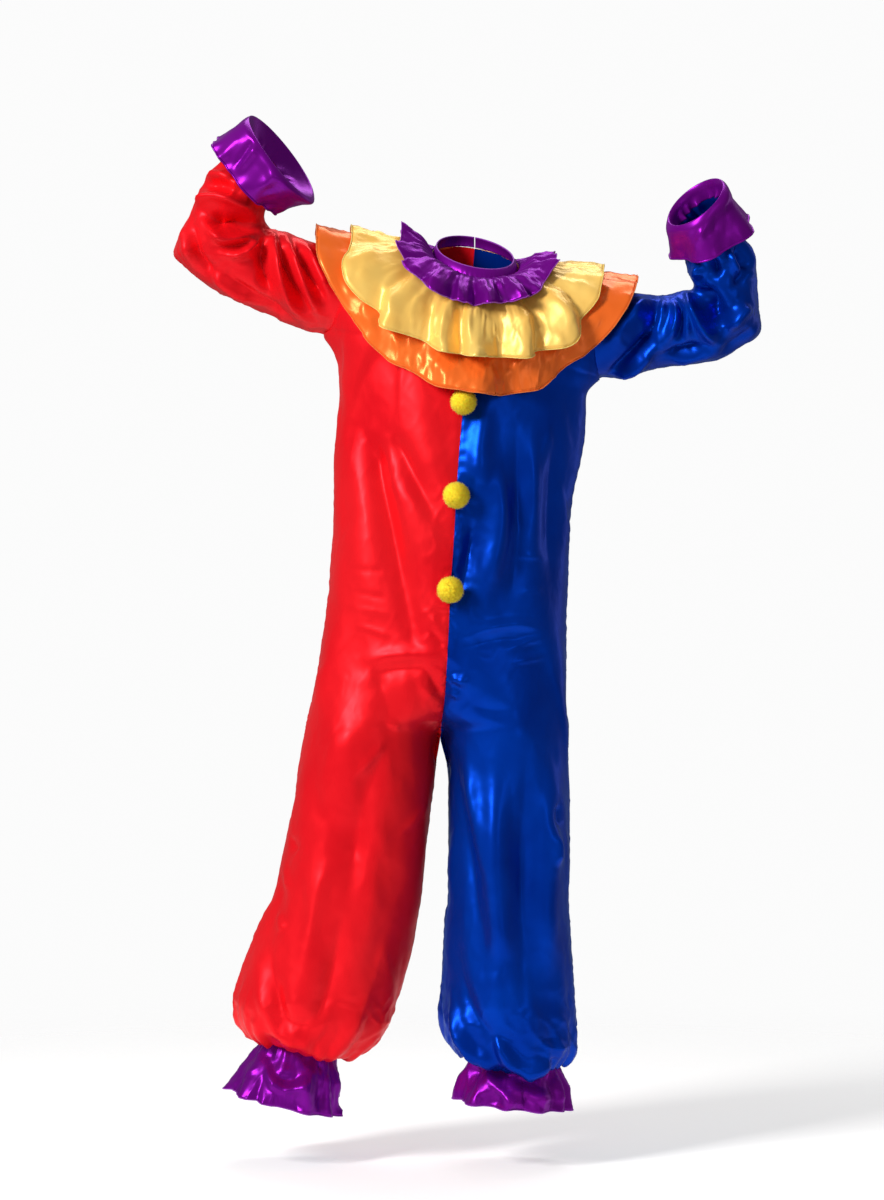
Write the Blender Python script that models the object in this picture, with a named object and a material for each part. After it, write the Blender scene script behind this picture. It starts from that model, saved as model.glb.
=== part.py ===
"""A two-colour clown jumpsuit with a three-tier round collar, turned-back cuffs, ankle ruffles and pompoms.

It keeps the hollow, worn form of a general figure with both arms raised. Metres, +Z up, the front faces -Y.
The origin is the middle of the neck base, where the shoulders carry the suit. "Right" and "left" are the
wearer's: the right half is red and lies at -X, the left half is blue and lies at +X.
"""

import math

import bmesh
import bpy
import numpy as np
from mathutils import Vector
from mathutils.bvhtree import BVHTree

# Cloth and seams
CLOTH = 0.002
CUFF_CLOTH = 0.0016
RUFFLE_CLOTH = 0.0014
SEAM_INSET = 0.0002
# Where faces meet at an angle their mean normal is this share of full length at least
LEAST_AGREEMENT = 0.5

# Grid of the body panels
PANEL_COLUMNS = 12
NECK_COLUMNS = 5
YOKE_ROWS = 8

# Neckline: half width, half depth, and the height of its middle, its front drop and its sideways drop
NECK_HALF_WIDTH = 0.073
NECK_HALF_DEPTH = 0.076
NECK_MIDDLE = -0.008
NECK_FRONT_DROP = 0.033
NECK_SIDE_DROP = 0.012

# Armholes: tip of the shoulder seam, underarm point, half depth and how far each half is scooped inwards
ARMHOLES = {
    "right": {
        "tip": (-0.215, 0.005, 0.020),
        "underarm": (-0.260, 0.0, -0.131),
        "depth": 0.086,
        "scoop": 0.016,
    },
    "left": {
        "tip": (0.217, 0.005, -0.041),
        "underarm": (0.217, 0.0, -0.210),
        "depth": 0.088,
        "scoop": 0.016,
    },
}
CENTRE_BULGE = 0.008

# Above this height the inside of the trunk is taken from its middle, and below it from each half's own
HIP_HEIGHT = -0.600

# Half the gap between the legs just under the crotch, where the four panels meet in one point
CROTCH_HALF_GAP = 0.007

# Sections of the trunk. height is taken at the centre seam, and tilt, in degrees, lifts the right side.
# reach says how far each half's oval would run past the centre seam: 1 on the trunk, 0 at the crotch.
TRUNK_COLUMNS = ("height", "tilt", "right_x", "left_x", "seam_x", "front", "back", "reach")
TRUNK = (
    (-0.172, 9.4, -0.260, 0.217, -0.016, 0.126, 0.124, 1.0),
    (-0.200, 8.5, -0.243, 0.196, -0.018, 0.131, 0.128, 1.0),
    (-0.245, 7.0, -0.235, 0.190, -0.020, 0.138, 0.131, 1.0),
    (-0.300, 5.0, -0.232, 0.183, -0.025, 0.141, 0.132, 1.0),
    (-0.362, 3.0, -0.236, 0.174, -0.030, 0.143, 0.130, 1.0),
    (-0.430, 1.5, -0.240, 0.166, -0.034, 0.143, 0.128, 1.0),
    (-0.500, 0.5, -0.244, 0.160, -0.038, 0.141, 0.128, 1.0),
    (-0.570, 0.0, -0.250, 0.158, -0.043, 0.138, 0.131, 1.0),
    (-0.640, 0.0, -0.261, 0.158, -0.046, 0.135, 0.135, 0.95),
    (-0.700, 0.0, -0.271, 0.157, -0.049, 0.131, 0.137, 0.55),
    (-0.750, 0.0, -0.279, 0.157, -0.052, 0.127, 0.136, 0.26),
    (-0.790, 0.0, -0.287, 0.157, -0.057, 0.123, 0.132, 0.12),
    (-0.820, 0.0, -0.293, 0.158, -0.060, 0.120, 0.128, 0.0),
)

# Sections of each leg, down to the puff over the elastic, its lip, and the elastic inside the lip.
# gather is the height of the gathers there.
LEG_COLUMNS = ("height", "tilt", "outer_x", "inner_x", "middle_y", "half_depth", "gather")
LEGS = {
    "right": (
        (-0.875, 1.0, -0.302, -0.067, 0.004, 0.122, 0.0),
        (-0.950, 3.0, -0.3125, -0.0735, 0.005, 0.121, 0.0),
        (-1.030, 5.0, -0.334, -0.085, 0.006, 0.120, 0.0),
        (-1.110, 7.0, -0.355, -0.100, 0.007, 0.120, 0.0),
        (-1.190, 9.0, -0.383, -0.118, 0.008, 0.122, 0.003),
        (-1.255, 10.0, -0.406, -0.134, 0.009, 0.125, 0.006),
        (-1.308, 10.5, -0.417, -0.153, 0.010, 0.123, 0.010),
        (-1.343, 10.5, -0.409, -0.184, 0.010, 0.110, 0.014),
        (-1.362, 10.5, -0.382, -0.212, 0.010, 0.086, 0.005),
        (-1.351, 10.5, -0.370, -0.236, 0.010, 0.067, 0.0),
    ),
    "left": (
        (-0.875, 0.0, 0.159, -0.050, 0.002, 0.120, 0.0),
        (-0.950, 0.0, 0.161, -0.051, 0.000, 0.119, 0.0),
        (-1.030, 0.0, 0.160, -0.050, -0.002, 0.118, 0.0),
        (-1.110, 0.5, 0.159, -0.050, -0.004, 0.118, 0.0),
        (-1.190, 1.5, 0.164, -0.053, -0.006, 0.119, 0.003),
        (-1.258, 3.0, 0.169, -0.058, -0.008, 0.122, 0.006),
        (-1.322, 4.5, 0.176, -0.062, -0.010, 0.122, 0.010),
        (-1.360, 5.5, 0.174, -0.053, -0.010, 0.112, 0.014),
        (-1.382, 5.5, 0.153, -0.027, -0.010, 0.092, 0.005),
        (-1.368, 5.5, 0.139, -0.009, -0.010, 0.074, 0.0),
    ),
}
GATHERS_PER_LEG = 12
PUFF_SECTIONS = 4

# Sections of each sleeve after the armhole. upper is the side towards the head, lower the side away from it,
# and lean turns the section towards the front, in degrees.
SLEEVE_COLUMNS = ("upper_x", "upper_z", "lower_x", "lower_z", "middle_y", "half_depth", "lean")
SLEEVES = {
    "right": (
        (-0.260, 0.021, -0.301, -0.117, 0.000, 0.078, 0.0),
        (-0.303, 0.030, -0.353, -0.098, -0.006, 0.073, 2.0),
        (-0.327, 0.040, -0.404, -0.076, -0.013, 0.069, 3.0),
        (-0.342, 0.044, -0.456, -0.052, -0.020, 0.067, 4.0),
        (-0.352, 0.048, -0.495, -0.022, -0.027, 0.067, 5.0),
        (-0.358, 0.056, -0.518, 0.003, -0.032, 0.067, 6.0),
        (-0.360, 0.065, -0.503, 0.038, -0.037, 0.066, 8.0),
        (-0.359, 0.073, -0.485, 0.071, -0.041, 0.064, 10.0),
        (-0.356, 0.082, -0.469, 0.107, -0.046, 0.061, 12.0),
        (-0.347, 0.091, -0.445, 0.150, -0.052, 0.058, 14.0),
        (-0.334, 0.102, -0.416, 0.172, -0.057, 0.055, 15.0),
        (-0.320, 0.112, -0.389, 0.191, -0.061, 0.053, 15.0),
    ),
    "left": (
        (0.253, -0.055, 0.263, -0.205, -0.004, 0.082, 0.0),
        (0.289, -0.062, 0.310, -0.194, -0.009, 0.077, 3.0),
        (0.322, -0.064, 0.360, -0.184, -0.015, 0.073, 5.0),
        (0.349, -0.060, 0.404, -0.175, -0.021, 0.070, 7.0),
        (0.370, -0.054, 0.447, -0.157, -0.028, 0.069, 9.0),
        (0.372, -0.044, 0.484, -0.129, -0.035, 0.068, 12.0),
        (0.368, -0.035, 0.482, -0.092, -0.042, 0.066, 16.0),
        (0.364, -0.025, 0.479, -0.055, -0.050, 0.063, 20.0),
        (0.361, -0.014, 0.475, -0.022, -0.059, 0.059, 23.0),
        (0.357, 0.000, 0.461, 0.016, -0.070, 0.055, 25.0),
        (0.352, 0.014, 0.440, 0.054, -0.080, 0.051, 27.0),
        (0.348, 0.030, 0.419, 0.095, -0.089, 0.048, 27.0),
    ),
}

# Turned-back cuffs: the sewn end inside, the folded mouth, and the free edge that lies over the sleeve
CUFF_COLUMNS = ("middle_x", "middle_z", "middle_y", "along_x", "along_z", "half_width", "half_depth", "wave")
CUFF_AROUND = 24
CUFF_WAVES = 5
CUFF_WAVE_TURN = 0.7
CUFF_SEAM_GAP = 0.0006
CUFFS = {
    "right": {
        "lean": 15.0,
        "sections": (
            (-0.3435, 0.1575, -0.064, 0.592, -0.806, 0.066, 0.064, 0.0),
            (-0.3340, 0.1640, -0.066, 0.592, -0.806, 0.080, 0.075, 0.0),
            (-0.3300, 0.1665, -0.067, 0.592, -0.806, 0.086, 0.080, 0.0),
            (-0.332, 0.163, -0.067, 0.594, -0.804, 0.0905, 0.0845, 0.0015),
            (-0.353, 0.154, -0.063, 0.600, -0.800, 0.088, 0.082, 0.003),
            (-0.376, 0.144, -0.058, 0.610, -0.792, 0.083, 0.077, 0.004),
            (-0.394, 0.136, -0.054, 0.620, -0.785, 0.080, 0.074, 0.006),
        ),
    },
    "left": {
        "lean": 27.0,
        "sections": (
            (0.3775, 0.073, -0.096, -0.745, -0.667, 0.0495, 0.0495, 0.0),
            (0.3735, 0.081, -0.101, -0.745, -0.667, 0.0525, 0.0525, 0.0),
            (0.3715, 0.085, -0.103, -0.745, -0.667, 0.0560, 0.0560, 0.0),
            (0.3735, 0.081, -0.101, -0.755, -0.655, 0.061, 0.060, 0.001),
            (0.382, 0.062, -0.091, -0.800, -0.600, 0.064, 0.063, 0.003),
            (0.394, 0.042, -0.080, -0.850, -0.530, 0.068, 0.067, 0.005),
            (0.403, 0.026, -0.071, -0.900, -0.436, 0.073, 0.071, 0.007),
        ),
    },
}

# Ankle ruffles, from the elastic to the hem. wave is the height of the ruffle's waves.
ANKLE_COLUMNS = ("middle_x", "height", "tilt", "middle_y", "half_width", "half_depth", "wave")
ANKLE_AROUND = 48
ANKLE_WAVES = 12
ANKLE_UNEVEN = 0.2
ANKLE_WAVE_DROP = 0.25
ANKLES = {
    "right": (
        (-0.303, -1.346, 10.5, 0.010, 0.0638, 0.0638, 0.0),
        (-0.307, -1.370, 10.5, 0.009, 0.0680, 0.0680, 0.003),
        (-0.317, -1.406, 12.0, 0.004, 0.0840, 0.0840, 0.010),
        (-0.331, -1.447, 14.0, -0.003, 0.0950, 0.0950, 0.015),
    ),
    "left": (
        (0.065, -1.364, 5.5, -0.010, 0.0712, 0.0712, 0.0),
        (0.065, -1.388, 5.5, -0.011, 0.0790, 0.0770, 0.003),
        (0.064, -1.418, 5.5, -0.015, 0.0930, 0.0910, 0.010),
        (0.063, -1.448, 5.5, -0.019, 0.1000, 0.0980, 0.014),
    ),
}

# Collar tiers, from the body outwards. Each lies over the one before. foot and lift are the offsets from the
# body at the neck and at the hem, wave is the height of the folds at the hem, and notch draws the hem in
# between the folds.
TIER_COLUMNS = ("name", "colour", "width", "front_extra", "around", "rows", "foot", "lift", "wave", "notch")
TIERS = (
    ("collar_orange", "orange", 0.208, 0.012, 54, 5, 0.0006, 0.006, 0.009, 0.004),
    ("collar_yellow", "yellow", 0.150, 0.010, 75, 4, 0.0026, 0.004, 0.022, 0.009),
    ("neck_ruffle", "purple", 0.060, 0.018, 80, 3, 0.0046, 0.004, 0.016, 0.008),
)
TIER_START = 0.0015
TIER_SPARE = 0.0012
TIER_GAP = 0.0004
TIER_SETTLE = 0.03
WAVE_GROWTH = 1.3
OPENING_HALF_ANGLE = 0.7
BODY_POLE = Vector((0.0, 0.0, -0.10))
POLE_STEP = 2.5
POLE_SPREAD = 4.0
LOWEST_RAY = -80.0
PROFILE_LIMIT = 0.25
PROFILE_SPREAD = 0.02
ENVELOPE_TURNS = (-10.0, -5.0, 0.0, 5.0, 10.0)

# Folds of each tier: the direction of the crest, in degrees from the front towards the left side, half the
# fold's width in degrees, and its height as a share of the tier's wave
FOLD_COLUMNS = ("direction", "half_width", "share")
TIER_FOLDS = {
    "collar_orange": (
        (-160, 18, 0.7), (-122, 18, 0.8), (-84, 16, 0.1), (-52, 15, 0.9), (-22, 14, 0.7),
        (8, 15, 0.9), (38, 15, 0.8), (68, 14, 0.6), (98, 16, 0.1), (132, 18, 0.8), (165, 15, 0.7),
    ),
    "collar_yellow": (
        (-165, 13, 0.8), (-138, 12, 1.0), (-112, 12, 0.5), (-88, 11, 0.3), (-64, 11, 0.8), (-42, 10, 1.0),
        (-20, 10, 0.8), (3, 11, 1.0), (26, 10, 0.9), (48, 10, 1.0), (70, 11, 0.5), (94, 12, 0.3),
        (120, 12, 0.6), (146, 12, 1.0), (169, 10, 0.7),
    ),
    "neck_ruffle": tuple(
        (-171 + 18 * number, 9 if number % 3 else 8, 0.75 + 0.25 * math.cos(2.4 * number))
        for number in range(20)
    ),
}

# The rise of the tiers over the top pompom, its direction and half width in degrees, and where it starts
TOP_POMPOM_BUMP = 0.036
TOP_POMPOM_DIRECTION = -7.0
TOP_POMPOM_BUMP_WIDTH = 17.0
TOP_POMPOM_BUMP_FROM = 0.125

# Neckband
BAND_HEIGHT = 0.018
BAND_AROUND = 40
BAND_FOOT = 0.0006
BAND_DRAW_IN = 0.006

# Pompoms on the centre seam, from the top: height, diameter and how far the ball stands off its seat
POMPOM_COLUMNS = ("name", "height", "diameter", "seat")
POMPOMS = (
    ("pompom_top", -0.256, 0.046, 0.78),
    ("pompom_middle", -0.413, 0.047, 0.84),
    ("pompom_bottom", -0.571, 0.047, 0.84),
)
POMPOM_CORE_SHARE = 0.72
POMPOM_UNEVEN = 0.03
POMPOM_GAP = 0.0003
POMPOM_START_Y = -0.25

# The largest folds of the body panels and sleeves: soft troughs (minus) and ridges (plus), drawn as lines in
# the front view, on the front (-1) or the back (1)
BODY_FOLD_COLUMNS = ("face", "from_x", "from_z", "to_x", "to_z", "height", "half_width")
BODY_FOLDS = (
    (-1, -0.205, -0.290, -0.105, -0.670, -0.011, 0.034),
    (-1, -0.150, -0.330, -0.075, -0.600, 0.008, 0.032),
    (-1, -0.225, -0.640, -0.055, -0.690, 0.008, 0.030),
    (-1, -0.240, -0.860, -0.225, -1.260, 0.009, 0.036),
    (-1, -0.150, -0.840, -0.195, -1.240, -0.009, 0.036),
    (-1, -0.330, -1.000, -0.365, -1.300, -0.008, 0.034),
    (-1, -0.260, -1.180, -0.275, -1.340, 0.009, 0.030),
    (-1, 0.030, -0.280, 0.015, -0.480, 0.009, 0.030),
    (-1, 0.095, -0.290, 0.060, -0.600, -0.010, 0.034),
    (-1, -0.010, -0.630, 0.140, -0.665, 0.008, 0.030),
    (-1, 0.000, -0.850, -0.005, -1.260, -0.008, 0.034),
    (-1, 0.060, -0.830, 0.070, -1.290, 0.009, 0.036),
    (-1, 0.120, -0.880, 0.135, -1.290, -0.008, 0.034),
    (1, -0.165, -0.290, -0.105, -0.600, -0.010, 0.036),
    (1, 0.095, -0.310, 0.065, -0.600, -0.010, 0.036),
    (1, -0.220, -0.680, -0.075, -0.730, 0.008, 0.032),
    (1, 0.000, -0.730, 0.120, -0.690, 0.008, 0.032),
    (1, -0.225, -0.840, -0.275, -1.260, -0.010, 0.038),
    (1, 0.050, -0.850, 0.060, -1.280, -0.010, 0.038),
    (-1, -0.270, -0.070, -0.350, 0.000, 0.008, 0.024),
    (-1, -0.330, -0.070, -0.410, 0.040, -0.008, 0.024),
    (1, -0.280, -0.050, -0.380, 0.030, -0.008, 0.026),
    (-1, 0.245, -0.110, 0.350, -0.100, 0.008, 0.026),
    (-1, 0.330, -0.140, 0.440, -0.080, -0.008, 0.026),
    (1, 0.260, -0.120, 0.390, -0.100, -0.008, 0.028),
)
FOLD_FADE = 0.3
FOLD_FACING = 1.5

# Colour, roughness
FINISHES = {
    "red": ((0.85, 0.006, 0.010), 0.38),
    "blue": ((0.0, 0.035, 0.45), 0.36),
    "purple": ((0.24, 0.010, 0.36), 0.34),
    "yellow": ((1.0, 0.60, 0.08), 0.36),
    "orange": ((1.0, 0.14, 0.006), 0.36),
    "pompom": ((1.0, 0.70, 0.006), 0.9),
}
HALVES = {"right": ("red", -1), "left": ("blue", 1)}


def named(columns, row):
    """One row of a table as a dictionary."""
    return dict(zip(columns, row))


def unit(vectors):
    """Vectors scaled to length 1, along the last axis."""
    return vectors / np.maximum(np.linalg.norm(vectors, axis=-1, keepdims=True), 1e-12)


def ease(value):
    """A soft step from 0 to 1."""
    value = min(max(value, 0.0), 1.0)
    return value * value * (3 - 2 * value)


def clear_scene():
    for thing in list(bpy.data.objects):
        bpy.data.objects.remove(thing, do_unlink=True)


def make_materials():
    """One satin or wool finish for each colour."""
    materials = {}
    for name, (colour, roughness) in FINISHES.items():
        material = bpy.data.materials.new(name)
        material.use_nodes = True
        shader = material.node_tree.nodes["Principled BSDF"]
        shader.inputs["Base Color"].default_value = (*colour, 1.0)
        shader.inputs["Roughness"].default_value = roughness
        shader.inputs["Metallic"].default_value = 0.0
        material.diffuse_color = (*colour, 1.0)
        materials[name] = material
    return materials


def neck_point(angle):
    """The neckline in a direction, in radians from the front towards the left side."""
    height = NECK_MIDDLE - NECK_FRONT_DROP * math.cos(angle) - NECK_SIDE_DROP * math.sin(angle)
    return np.array((NECK_HALF_WIDTH * math.sin(angle), -NECK_HALF_DEPTH * math.cos(angle), height))


def armhole_point(side, face, share):
    """The armhole from the tip of the shoulder (share 0) to the underarm (share 1), over one face."""
    hole = ARMHOLES[side]
    tip = np.array(hole["tip"])
    underarm = np.array(hole["underarm"])
    angle = math.pi * share
    outward = HALVES[side][1]
    point = (tip + underarm) / 2 + (tip - underarm) / 2 * math.cos(angle)
    point = point + np.array((-outward * hole["scoop"], face * hole["depth"], 0.0)) * math.sin(angle)
    return point


def trunk_row(side, face, row):
    """One section of half a trunk, from the centre seam to the side seam."""
    section = named(TRUNK_COLUMNS, row)
    reach = section["reach"]
    crotch = HALVES[side][1] * CROTCH_HALF_GAP if reach == 0 else 0.0
    width = section[side + "_x"] - section["seam_x"] - crotch
    middle = section["seam_x"] + crotch + width * (1 - reach) / 2
    half_width = width * (1 + reach) / 2
    start = math.acos((1 - reach) / (1 + reach))
    depth = section["front"] if face < 0 else section["back"]
    slope = math.tan(math.radians(section["tilt"]))
    points = []
    for angle in np.linspace(start, math.pi, PANEL_COLUMNS + 1):
        x = middle - half_width * math.cos(angle)
        y = face * depth * math.sin(angle)
        points.append((x, y, section["height"] - slope * (x - section["seam_x"])))
    if crotch:
        points[0] = (section["seam_x"], 0.0, section["height"])
    return points


def leg_row(side, face, row):
    """One section of half a leg, from the inseam to the side seam."""
    section = named(LEG_COLUMNS, row)
    middle = (section["outer_x"] + section["inner_x"]) / 2
    half_width = (section["outer_x"] - section["inner_x"]) / 2
    slope = math.tan(math.radians(section["tilt"]))
    points = []
    for angle in np.linspace(0.0, math.pi, PANEL_COLUMNS + 1):
        gather = 1 - section["gather"] / abs(half_width) * (0.5 + 0.5 * math.cos(GATHERS_PER_LEG * angle))
        x = middle - half_width * gather * math.cos(angle)
        y = section["middle_y"] + face * section["half_depth"] * gather * math.sin(angle)
        points.append((x, y, section["height"] - slope * (x - middle)))
    return points


def yoke_rows(side, face, chest):
    """The panel from the neckline and the shoulder seam down to the chest, as a patch between four edges."""
    outward = HALVES[side][1]
    front_angle = 0.0 if face < 0 else math.pi
    neck_angles = np.linspace(front_angle, math.pi / 2, NECK_COLUMNS + 1) * outward
    top = [neck_point(angle) for angle in neck_angles]
    shoulder = np.array(ARMHOLES[side]["tip"])
    steps = np.linspace(0.0, 1.0, PANEL_COLUMNS - NECK_COLUMNS + 1)[1:]
    top += [top[-1] * (1 - step) + shoulder * step for step in steps]
    top = np.array(top)
    bottom = np.array(chest)
    shares = np.linspace(0.0, 1.0, YOKE_ROWS + 1)
    bulge = np.array((0, face * CENTRE_BULGE, 0))
    centre = [
        top[0] * (1 - share) + bottom[0] * share + bulge * math.sin(math.pi * share) for share in shares
    ]
    hole = [armhole_point(side, face, share) for share in shares]
    across = np.linspace(0.0, 1.0, PANEL_COLUMNS + 1)[:, None]
    rows = []
    for share, inner, outer in zip(shares, centre, hole):
        along = top * (1 - share) + bottom * share
        sideways = inner * (1 - across) + outer * across
        corners = (top[0] * (1 - share) + bottom[0] * share) * (1 - across)
        corners = corners + (top[-1] * (1 - share) + bottom[-1] * share) * across
        rows.append(along + sideways - corners)
    return rows[:-1]


def body_panel(side, face):
    """A whole panel, from the shoulder to the ankle elastic, as rows of points."""
    trunk = [trunk_row(side, face, row) for row in TRUNK]
    legs = [leg_row(side, face, row) for row in LEGS[side]]
    return np.array(list(yoke_rows(side, face, trunk[0])) + trunk + legs)


def ring_axes(along, lean, turn):
    """The unit vectors along a section's width and through its depth, for a tube that leans to the front."""
    along = unit(np.array((along[0], 0.0, along[1])))
    ahead = np.array((-along[2], 0.0, along[0])) * turn
    depth = ahead * math.sin(math.radians(lean)) + np.array((0.0, 1.0, 0.0)) * math.cos(math.radians(lean))
    return along, depth


def sleeve_section(side, row, around):
    """One closed section of a sleeve."""
    section = named(SLEEVE_COLUMNS, row)
    upper = np.array((section["upper_x"], section["middle_y"], section["upper_z"]))
    lower = np.array((section["lower_x"], section["middle_y"], section["lower_z"]))
    half = (upper - lower) / 2
    _, depth = ring_axes((half[0], half[2]), section["lean"], -HALVES[side][1])
    return [
        (upper + lower) / 2 + half * math.cos(angle) - depth * section["half_depth"] * math.sin(angle)
        for angle in np.linspace(0.0, 2 * math.pi, around, endpoint=False)
    ]


def sleeve_end(side, around):
    """The section that a cuff starts with: the sleeve's end, moved on by the seam's gap."""
    end, before = (np.array(sleeve_section(side, row, around)) for row in SLEEVES[side][:-3:-1])
    ahead = unit(end.mean(axis=0) - before.mean(axis=0))
    return end + ahead * CUFF_SEAM_GAP


def sleeve(side):
    """A sleeve as closed sections, from the armhole to the end that the cuff is sewn to."""
    shares = np.linspace(0.0, 1.0, YOKE_ROWS + 1)
    ring = [armhole_point(side, -1, share) for share in shares]
    ring += [armhole_point(side, 1, share) for share in shares[::-1][1:-1]]
    return np.array([ring] + [sleeve_section(side, row, 2 * YOKE_ROWS) for row in SLEEVES[side]])


def add_folds(grid, normals):
    """Moves each point of a panel in or out by the folds that pass it."""
    moved = grid.copy()
    for row in BODY_FOLDS:
        fold = named(BODY_FOLD_COLUMNS, row)
        start = np.array((fold["from_x"], fold["from_z"]))
        run = np.array((fold["to_x"], fold["to_z"])) - start
        flat = grid[..., (0, 2)] - start
        share = (flat @ run) / (run @ run)
        beside = np.linalg.norm(flat - np.clip(share, 0, 1)[..., None] * run, axis=-1)
        ends = np.clip((0.5 + FOLD_FADE - np.abs(share - 0.5)) / FOLD_FADE, 0, 1)
        facing = np.clip(normals[..., 1] * fold["face"] * FOLD_FACING, 0, 1)
        height = fold["height"] * np.exp(-((beside / fold["half_width"]) ** 2)) * ends * facing
        moved += normals * height[..., None]
    return moved


def grid_quads(rows, columns, closed):
    """Corner index of each cell of a grid, whose columns run round when closed."""
    last = columns if closed else columns - 1
    quads = []
    for row in range(rows - 1):
        for column in range(last):
            right = (column + 1) % columns
            quads.append((row * columns + column, row * columns + right,
                          (row + 1) * columns + right, (row + 1) * columns + column))
    return quads


def shared_normals(grids):
    """Outward normals at the points of several grids that meet, averaged over every grid that has the point.

    Where faces meet at an angle the normal is longer, so that a wall offset by it keeps its thickness.
    """
    places = {}
    sums = []
    areas = []
    keys = []
    for grid, closed, inside in grids:
        points = grid.reshape(-1, 3)
        own = []
        for point in points:
            key = tuple(np.round(point * 1e5).astype(int))
            if key not in places:
                places[key] = len(sums)
                sums.append(np.zeros(3))
                areas.append(0.0)
            own.append(places[key])
        keys.append(own)
        for quad in grid_quads(grid.shape[0], grid.shape[1], closed):
            a, b, c, d = (points[index] for index in quad)
            normal = np.cross(c - a, d - b)
            middle = (a + b + c + d) / 4
            if normal @ (middle - inside(middle)) < 0:
                normal = -normal
            for index in quad:
                sums[own[index]] += normal
                areas[own[index]] += np.linalg.norm(normal)
    sums = np.array(sums)
    agreement = np.linalg.norm(sums, axis=1) / np.array(areas)
    sums = unit(sums) / np.maximum(agreement, LEAST_AGREEMENT)[:, None]
    return [sums[own].reshape(grid.shape) for (grid, _, _), own in zip(grids, keys)]


def inset(grid, closed):
    """Pulls the free edges of a grid in by the seam's half gap."""
    out = grid.copy()
    out[0] += SEAM_INSET * unit(grid[1] - grid[0])
    out[-1] += SEAM_INSET * unit(grid[-2] - grid[-1])
    if not closed:
        out[:, 0] += SEAM_INSET * unit(grid[:, 1] - grid[:, 0])
        out[:, -1] += SEAM_INSET * unit(grid[:, -2] - grid[:, -1])
    return out


def surface_normals(grid, closed):
    """Normals of one grid by itself, to the left of its rows seen along its columns."""
    across = np.roll(grid, -1, 1) - np.roll(grid, 1, 1)
    if not closed:
        across[:, 0] = grid[:, 1] - grid[:, 0]
        across[:, -1] = grid[:, -1] - grid[:, -2]
    down = np.gradient(grid, axis=0)
    return unit(np.cross(down, across))


def add_wall(name, outer, inner, closed, material):
    """A closed solid between an outer and an inner grid of the same size, as one named object."""
    rows, columns = outer.shape[:2]
    mesh = bmesh.new()
    out = [mesh.verts.new(point) for point in outer.reshape(-1, 3)]
    into = [mesh.verts.new(point) for point in inner.reshape(-1, 3)]
    for a, b, c, d in grid_quads(rows, columns, closed):
        for layer, flip in ((out, 1), (into, -1)):
            mesh.faces.new((layer[a], layer[b], layer[c])[::flip])
            mesh.faces.new((layer[a], layer[c], layer[d])[::flip])
    edges = []
    last = columns if closed else columns - 1
    for column in range(last):
        right = (column + 1) % columns
        edges.append((right, column))
        edges.append(((rows - 1) * columns + column, (rows - 1) * columns + right))
    if not closed:
        for row in range(rows - 1):
            edges.append((row * columns, (row + 1) * columns))
            edges.append(((row + 2) * columns - 1, (row + 1) * columns - 1))
    for a, b in edges:
        mesh.faces.new((out[a], out[b], into[b]))
        mesh.faces.new((out[a], into[b], into[a]))
    bmesh.ops.recalc_face_normals(mesh, faces=mesh.faces)
    data = bpy.data.meshes.new(name)
    mesh.to_mesh(data)
    mesh.free()
    return add_object(name, data, material)


def add_object(name, data, material):
    data.materials.append(material)
    data.shade_smooth()
    made = bpy.data.objects.new(name, data)
    bpy.context.scene.collection.objects.link(made)
    return made


def panel_inside(side):
    """A function that gives, for a place on a panel, a point inside the trunk or the leg that it wraps."""
    trunk = [named(TRUNK_COLUMNS, row) for row in TRUNK]
    legs = [named(LEG_COLUMNS, row) for row in LEGS[side]]
    low = legs[-PUFF_SECTIONS - 1]["height"]
    depths = [-row["height"] for row in trunk + legs[:-PUFF_SECTIONS]]
    middles = [(row["seam_x"] + row[side + "_x"]) / 2 for row in trunk]
    middles += [(row["outer_x"] + row["inner_x"]) / 2 for row in legs[:-PUFF_SECTIONS]]
    middles[-1] = (legs[-1]["outer_x"] + legs[-1]["inner_x"]) / 2
    for index, row in enumerate(trunk):
        if row["height"] > HIP_HEIGHT:
            middles[index] = row["seam_x"]

    def inside(point):
        height = min(max(point[2], low), BODY_POLE.z)
        return np.array((np.interp(-height, depths, middles), 0.0, height))

    return inside


def sleeve_inside(rings):
    """A function that gives, for a place on a sleeve, the middle of the nearest section."""
    middles = rings.mean(axis=1)
    return lambda point: middles[np.argmin(np.linalg.norm(middles - point, axis=1))]


def body_grids():
    """The four panels and two sleeves, folded, with outward normals shared along their seams."""
    names = []
    grids = []
    for face, word in ((-1, "front"), (1, "back")):
        for side in HALVES:
            names.append((f"{word}_{side}", side))
            grids.append((body_panel(side, face), False, panel_inside(side)))
    for side in HALVES:
        rings = sleeve(side)
        names.append((f"sleeve_{side}", side))
        grids.append((rings, True, sleeve_inside(rings)))
    normals = shared_normals(grids)
    folded = [
        (add_folds(grid, normal), closed, inside)
        for (grid, closed, inside), normal in zip(grids, normals)
    ]
    normals = shared_normals(folded)
    return names, [(grid, closed) for grid, closed, _ in folded], normals


def make_body(names, grids, normals, materials):
    for (name, side), (grid, closed), normal in zip(names, grids, normals):
        outer = inset(grid, closed)
        if closed:
            normal[-1] = unit(grid[-1] - grid[-1].mean(axis=0))
        add_wall(name, outer, outer - normal * CLOTH, closed, materials[HALVES[side][0]])


def body_tree(grids):
    """The outer surface of the panels and sleeves, for what lies on them."""
    points = []
    faces = []
    for grid, closed in grids:
        base = len(points)
        points += [Vector(point) for point in grid.reshape(-1, 3)]
        quads = grid_quads(grid.shape[0], grid.shape[1], closed)
        faces += [[base + index for index in quad] for quad in quads]
    return BVHTree.FromPolygons(points, faces)


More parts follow.
